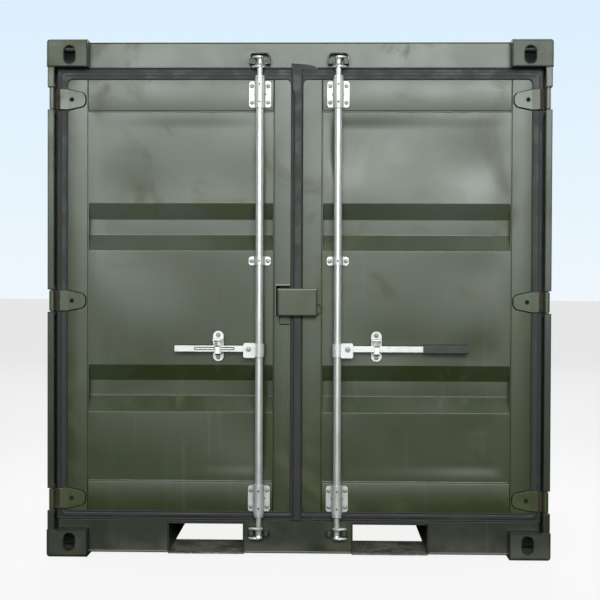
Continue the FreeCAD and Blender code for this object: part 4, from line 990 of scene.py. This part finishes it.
def staple_lips():
    """The staple plate's top edge, bent forward, and the raised edge beside the lock box, both
    painted pale as a painted highlight.
    """
    low, high = corners("lock_staple")
    face = face_of("left_door_frame") - PLATE
    box_foot, back, bend = corners("lock_box")[0][2] + 0.005, face + SUNK, high[2] - 0.008
    top = rounded_bar(
        (low[0] + 0.001, face - 0.016, bend), (high[0] - 0.001, back, high[2] - 0.0005), 0, 0.0028)
    edge = rounded_bar(
        (low[0] + 0.0005, face - 0.012, box_foot), (low[0] + 0.0035, back, bend + 0.002), 2, 0.0014)
    make_piece("lock_staple_lips", [top, edge], rim_highlight_paint, "left_door")


HINGE_TIP = 0.030         # half the height of a hinge blade's tip
HINGE_TIP_RUN = 0.012     # run and fall of the slopes at its corners
HINGE_TIP_FALL = 0.016
HINGE_BEND = (1.030, 1.013)    # the |x| where a blade's straight edges start and end


def hinge_outline_shade(name, side):
    """A near-black bead in the angle between each hinge blade and its door, along the blade's
    outline: painted shade of the blade's shadowed edges.
    """
    face = face_of(name + "_door_frame")
    shapes = []
    for low, high in clusters(name + "_hinge_blades", 2):
        z, half = (low[2] + high[2]) / 2, (high[2] - low[2]) / 2 + 0.0008
        tip = abs(high[0] if side < 0 else low[0]) - 0.0008
        upper = [(x, half) for x in HINGE_BEND] + [
            (tip + HINGE_TIP_RUN, HINGE_TIP), (tip, HINGE_TIP - HINGE_TIP_FALL)]
        outline = upper + [(x, -dz) for x, dz in upper[::-1]]
        path = upright([(side * x, z + dz) for x, dz in outline], face - BEAD_LIFT)
        shapes.append(bead(path, 0.0066, 0.0018))
    make_piece(name + "_hinge_outline_shade", shapes, dark_mottle, name + "_door")


def keeper_castings():
    """Cast keepers on the header: a hood bent round the cam over two rounded lugs.

    The hood is a rounded section carried along the polyline of its bend.
    """
    low, high = corners("header_keepers")
    half, cheek, shoulder = 0.046, 0.0428, 0.034
    foot, turn, crown = low[2] + 0.001, high[2] - 0.015, high[2] - 0.0032
    half_bend = [(-cheek, foot), (-cheek, turn), (-shoulder, crown)]
    bend = softened(np.array(half_bend + [(-x, z) for x, z in half_bend[::-1]]), 0.010, 4)
    section = np.array([
        (-0.003, 0.012), (-0.002, 0.0165), (0.002, 0.0165), (0.003, 0.012),
        (0.003, -0.0205), (-0.003, -0.0205)])
    shapes = []
    for side in (-1, 1):
        x = side * (high[0] - half)
        shapes.append(swept(upright(bend + (x, 0), low[1] + 0.0185), FRONT, section))
        for edge in (-1, 1):
            x0, x1 = sorted((x + edge * 0.0225, x + edge * 0.0425))
            shapes.append(rounded_bar(
                (x0, low[1] + 0.001, low[2] + 0.0005), (x1, high[1], low[2] + 0.0215), 1, 0.006))
    make_piece(
        "header_keeper_castings", shapes, paint_keeper, "frame", crease=50.0,
        replaces=["header_keepers"])


def staple_plate_shade():
    """Near-black strips on the staple plate round the lock box's open side, and a bead round its
    lower tab: painted shade of the box's dark throat and the tab's edges.
    """
    low, high = corners("lock_staple")
    box_low, box_high = corners("lock_box")
    door = face_of("left_door_frame")
    face, edge, tab = door - PLATE, low[0] + 0.0035, 0.048
    near, back = face - 0.0008, face + 0.001
    shapes = [
        rounded_bar((edge, near, box_low[2] + 0.004), (box_low[0] + 0.012, back, high[2] - 0.008),
                    2, 0.0005),
        rounded_bar((edge, near, box_high[2] - 0.012), (high[0] - 0.002, back, high[2] - 0.0085),
                    0, 0.0005)]
    top, foot = box_low[2] - 0.002, low[2] - 0.001
    outline = softened(np.array([
        (high[0] - tab, top), (high[0] - tab, foot), (high[0], foot), (high[0], top)]), 0.008, 4)
    shapes.append(bead(upright(outline, door - BEAD_LIFT), 0.005, 0.0016))
    make_piece("lock_staple_painted_shade", shapes, dark_mottle, "left_door")


def sill_lip():
    """The folded lower edge of the sill, rubbed pale, in the runs that the fork pockets leave."""
    low, high = corners("door_sill")
    straps = clusters("fork_pocket_straps", 0, gap=0.4)
    edges = [low[0]] + [x for a, b in straps for x in (a[0], b[0])] + [high[0]]
    shapes = []
    for start, end in zip(edges[0::2], edges[1::2]):
        shapes.append(rounded_bar(
            (start + 0.004, low[1] - 0.0006, low[2] + 0.0045),
            (end - 0.004, low[1] + SUNK, low[2] + 0.0095), 0, 0.0012))
    make_piece("door_sill_lip", shapes, paint_lip, "frame")


def header_top_shade():
    """A near-black strip along the top front edge of the header, between the castings: painted
    shade of its shadowed top edge.
    """
    low, high = corners("door_header")
    shapes = [rounded_bar(
        (low[0] + 0.004, low[1] - 0.0004, high[2] - 0.0042),
        (high[0] - 0.004, low[1] + SUNK, high[2] + 0.0004), 0, 0.0004)]
    make_piece("door_header_painted_shade", shapes, dark_mottle, "frame")


def build_doors():
    for name, side in DOORS:
        door_tubes(name)
        door_skin(name, side)
        door_welds(name)
        door_seal_ribs(name, side)
        bracket_bolts(name)
        retainer_bolts(name)
        hub_bolt(name, side)
        sleeve_pins(name)
        hinge_plugs(name, side)
        hinge_outline_shade(name, side)
        cast_cams(name, side)
        catch_lever(name)
    seal_flap()
    lock_box_edges()
    staple_lips()
    staple_plate_shade()
    handle_groove_shade()
    keeper_castings()
    sill_lip()
    header_top_shade()


# ---- walls, roof and floor ----
def wall_skins():
    """Both side walls, the rear wall and the roof, pressed like the doors' panels."""
    for wall, run, outward, dent in (
        ("side_wall_left", 1, -1, (30, 0.16, 0.0022, 3)),
        ("side_wall_right", 1, 1, (30, 0.16, 0.0022, 4)),
        ("rear_wall", 0, 1, (26, 0.16, 0.0022, 8)),
    ):
        pressed_sheet(
            wall + "_skin", wall, "frame", run=run, across=2, outward=outward, bend=0.014,
            dent=dent)
    pressed_sheet(
        "roof_skin", "roof_panel", "frame", run=1, across=0, outward=1, bend=0.006,
        dent=(30, 0.22, 0.0016, 12))


def deck():
    """Plywood boards laid along the container with chamfered joints, and the screws in them."""
    low, high = corners("floor_boards")
    boards, half_gap = 4, 0.0015
    edges = np.linspace(low[0], high[0], boards + 1)
    planks = [
        rounded_bar((x0 + half_gap, low[1], low[2]), (x1 - half_gap, high[1], high[2]), 1, 0.0015)
        for x0, x1 in zip(edges[:-1], edges[1:])]
    make_piece(
        "floor_planks", planks, deck_wood, "frame", replaces=["floor_boards"])
    profile = [(0, 0), (0.006, 0), (0.0055, 0.0009), (0.002, 0.0005), (0, 0.0005)]
    screws = [
        turned(profile, (x, y, high[2] - 0.0002), Z, count=12)
        for y in np.linspace(low[1] + 0.06, high[1] - 0.06, 8)
        for x in np.linspace(low[0] + 0.05, high[0] - 0.05, 13)]
    make_piece("floor_screws", screws, zinc_bolt, "frame")


# ---- welds of the frame ----
def frame_welds():
    """Runs where posts, header, sill and rails meet the castings, and round the outer sheets."""
    header_low, header_high = corners("door_header")
    sill_face = face_of("door_sill") + 0.006
    post_low, post_high = corners("front_posts")
    rear_low, rear_high = corners("rear_wall")
    flange = 0.036    # from a wall's outermost face in to its edge flange
    shapes = []

    def run(start, end, out, width=0.009, rise=0.0035):
        shapes.append(weld([start, end], out, width, rise, seed=100 + len(shapes)))

    for side, wall in ((-1, "side_wall_left"), (1, "side_wall_right")):
        x = side * header_high[0]
        lean = np.array([-side * 0.7, -0.7, 0.0])
        run((x, header_low[1], header_low[2] + 0.004), (x, header_low[1], header_high[2] - 0.003),
            lean)
        run((x, sill_face, 0.010), (x, sill_face, 0.116), lean)
        edge, lip = side * (post_high[0] - 0.002), side * (post_high[0] - 0.040)
        for z, out in ((post_low[2], FRONT + Z), (post_high[2], FRONT - Z)):
            run((edge, post_low[1], z), (lip, post_low[1], z), out)
        low, high = corners(wall)
        inner = side * (abs(high[0] if side > 0 else low[0]) - flange)
        for z in (low[2], high[2]):
            run((inner, low[1], z), (inner, high[1], z), (side, 0, 0), 0.008, 0.003)
        x, back = side * rear_high[0], rear_high[1] - flange
        run((x, back, rear_low[2]), (x, back, rear_high[2]), (-side * 0.7, 0.7, 0), 0.008, 0.003)
    make_piece("frame_welds", shapes, paint_frame, "frame")


# ---- studio ----
LIGHTS = (
    # name, place, aim, width, height, radiance
    ("front_key", (0.0, -9.4, 4.5), (0.0, -1.2, 1.5), 9.0, 3.0, 9.5),
    ("front_right", (2.6, -9.4, 4.2), (0.5, -1.2, 1.8), 3.0, 2.4, 5.0),
    ("front_low", (0.0, -6.4, 1.35), (0.0, -1.2, 1.3), 4.4, 2.4, 2.1),
    ("left_fill", (-8.6, 0.6, 4.4), (0.0, 0.6, 1.0), 7.0, 3.0, 5.0),
    ("right_fill", (8.6, 0.6, 4.4), (0.0, 0.6, 1.0), 7.0, 3.0, 5.5),
    ("rear_key", (0.0, 9.4, 4.9), (0.0, 1.2, 1.4), 9.0, 3.0, 9.0),
    ("rear_low", (0.0, 6.4, 1.35), (0.0, 1.2, 1.3), 4.4, 2.4, 1.5),
    ("top_fill", (0.0, 0.0, 8.0), (0.0, 0.0, 0.0), 6.0, 6.0, 2.4),
)
FLOOR_REACH = 84.0


def studio():
    """A pale floor and sky that light nothing themselves, and large soft lights."""
    mesh = bpy.data.meshes.new("studio_floor")
    r = FLOOR_REACH
    mesh.from_pydata([(-r, -r, 0), (r, -r, 0), (r, r, 0), (-r, r, 0)], [], [(0, 1, 2, 3)])
    floor = bpy.data.objects.new("studio_floor", mesh)
    floor.data.materials.append(studio_floor("pale_floor"))
    floor.visible_diffuse = False
    floor.visible_glossy = False
    bpy.context.scene.collection.objects.link(floor)

    world = bpy.data.worlds.new("pale_sky")
    bpy.context.scene.world = world
    world.use_nodes = True
    world.cycles_visibility.diffuse = False
    world.cycles_visibility.glossy = False
    tree = world.node_tree
    direction = tree.nodes.new("ShaderNodeTexCoord").outputs["Generated"]
    split = tree.nodes.new("ShaderNodeSeparateXYZ")
    tree.links.new(direction, split.inputs["Vector"])
    ramp = tree.nodes.new("ShaderNodeValToRGB")
    tree.links.new(split.outputs["Z"], ramp.inputs["Fac"])
    low, high = ramp.color_ramp.elements
    low.position, low.color = 0.0, (0.855, 0.930, 0.985, 1)
    high.position, high.color = 0.24, (0.715, 0.865, 0.985, 1)
    tree.links.new(ramp.outputs["Color"], tree.nodes["Background"].inputs["Color"])

    for name, place, aim, width, tall, radiance in LIGHTS:
        light = bpy.data.lights.new(name, "AREA")
        light.shape = "RECTANGLE"
        light.size, light.size_y = width, tall
        light.energy = radiance * math.pi * width * tall
        light.color = (0.95, 1.0, 0.975)
        lamp = bpy.data.objects.new(name, light)
        lamp.location = place
        lamp.rotation_euler = (Vector(aim) - Vector(place)).to_track_quat("-Z", "Y").to_euler()
        lamp.visible_camera = False
        bpy.context.scene.collection.objects.link(lamp)


def camera():
    """Square on to the doors, a little above half height, turned and tilted by about a degree."""
    place = (0.102, float(cad_low[1]) - 4.75, 1.192)
    yaw, pitch, roll = math.radians(-1.14), math.radians(-0.76), math.radians(0.21)
    data = bpy.data.cameras.new("front_camera")
    data.lens = 65.7
    data.sensor_width = 36.0
    data.clip_end = 2000.0
    eye = bpy.data.objects.new("front_camera", data)
    turn = Euler((math.pi / 2 + pitch, 0, -yaw)).to_matrix() @ Matrix.Rotation(roll, 3, "Z")
    eye.matrix_world = Matrix.Translation(place) @ turn.to_4x4()
    bpy.context.scene.collection.objects.link(eye)
    bpy.context.scene.camera = eye


finish_packed_pieces()
build_doors()
wall_skins()
deck()
frame_welds()
studio()
camera()
bpy.context.scene.view_settings.view_transform = "Standard"

bpy.context.view_layer.update()
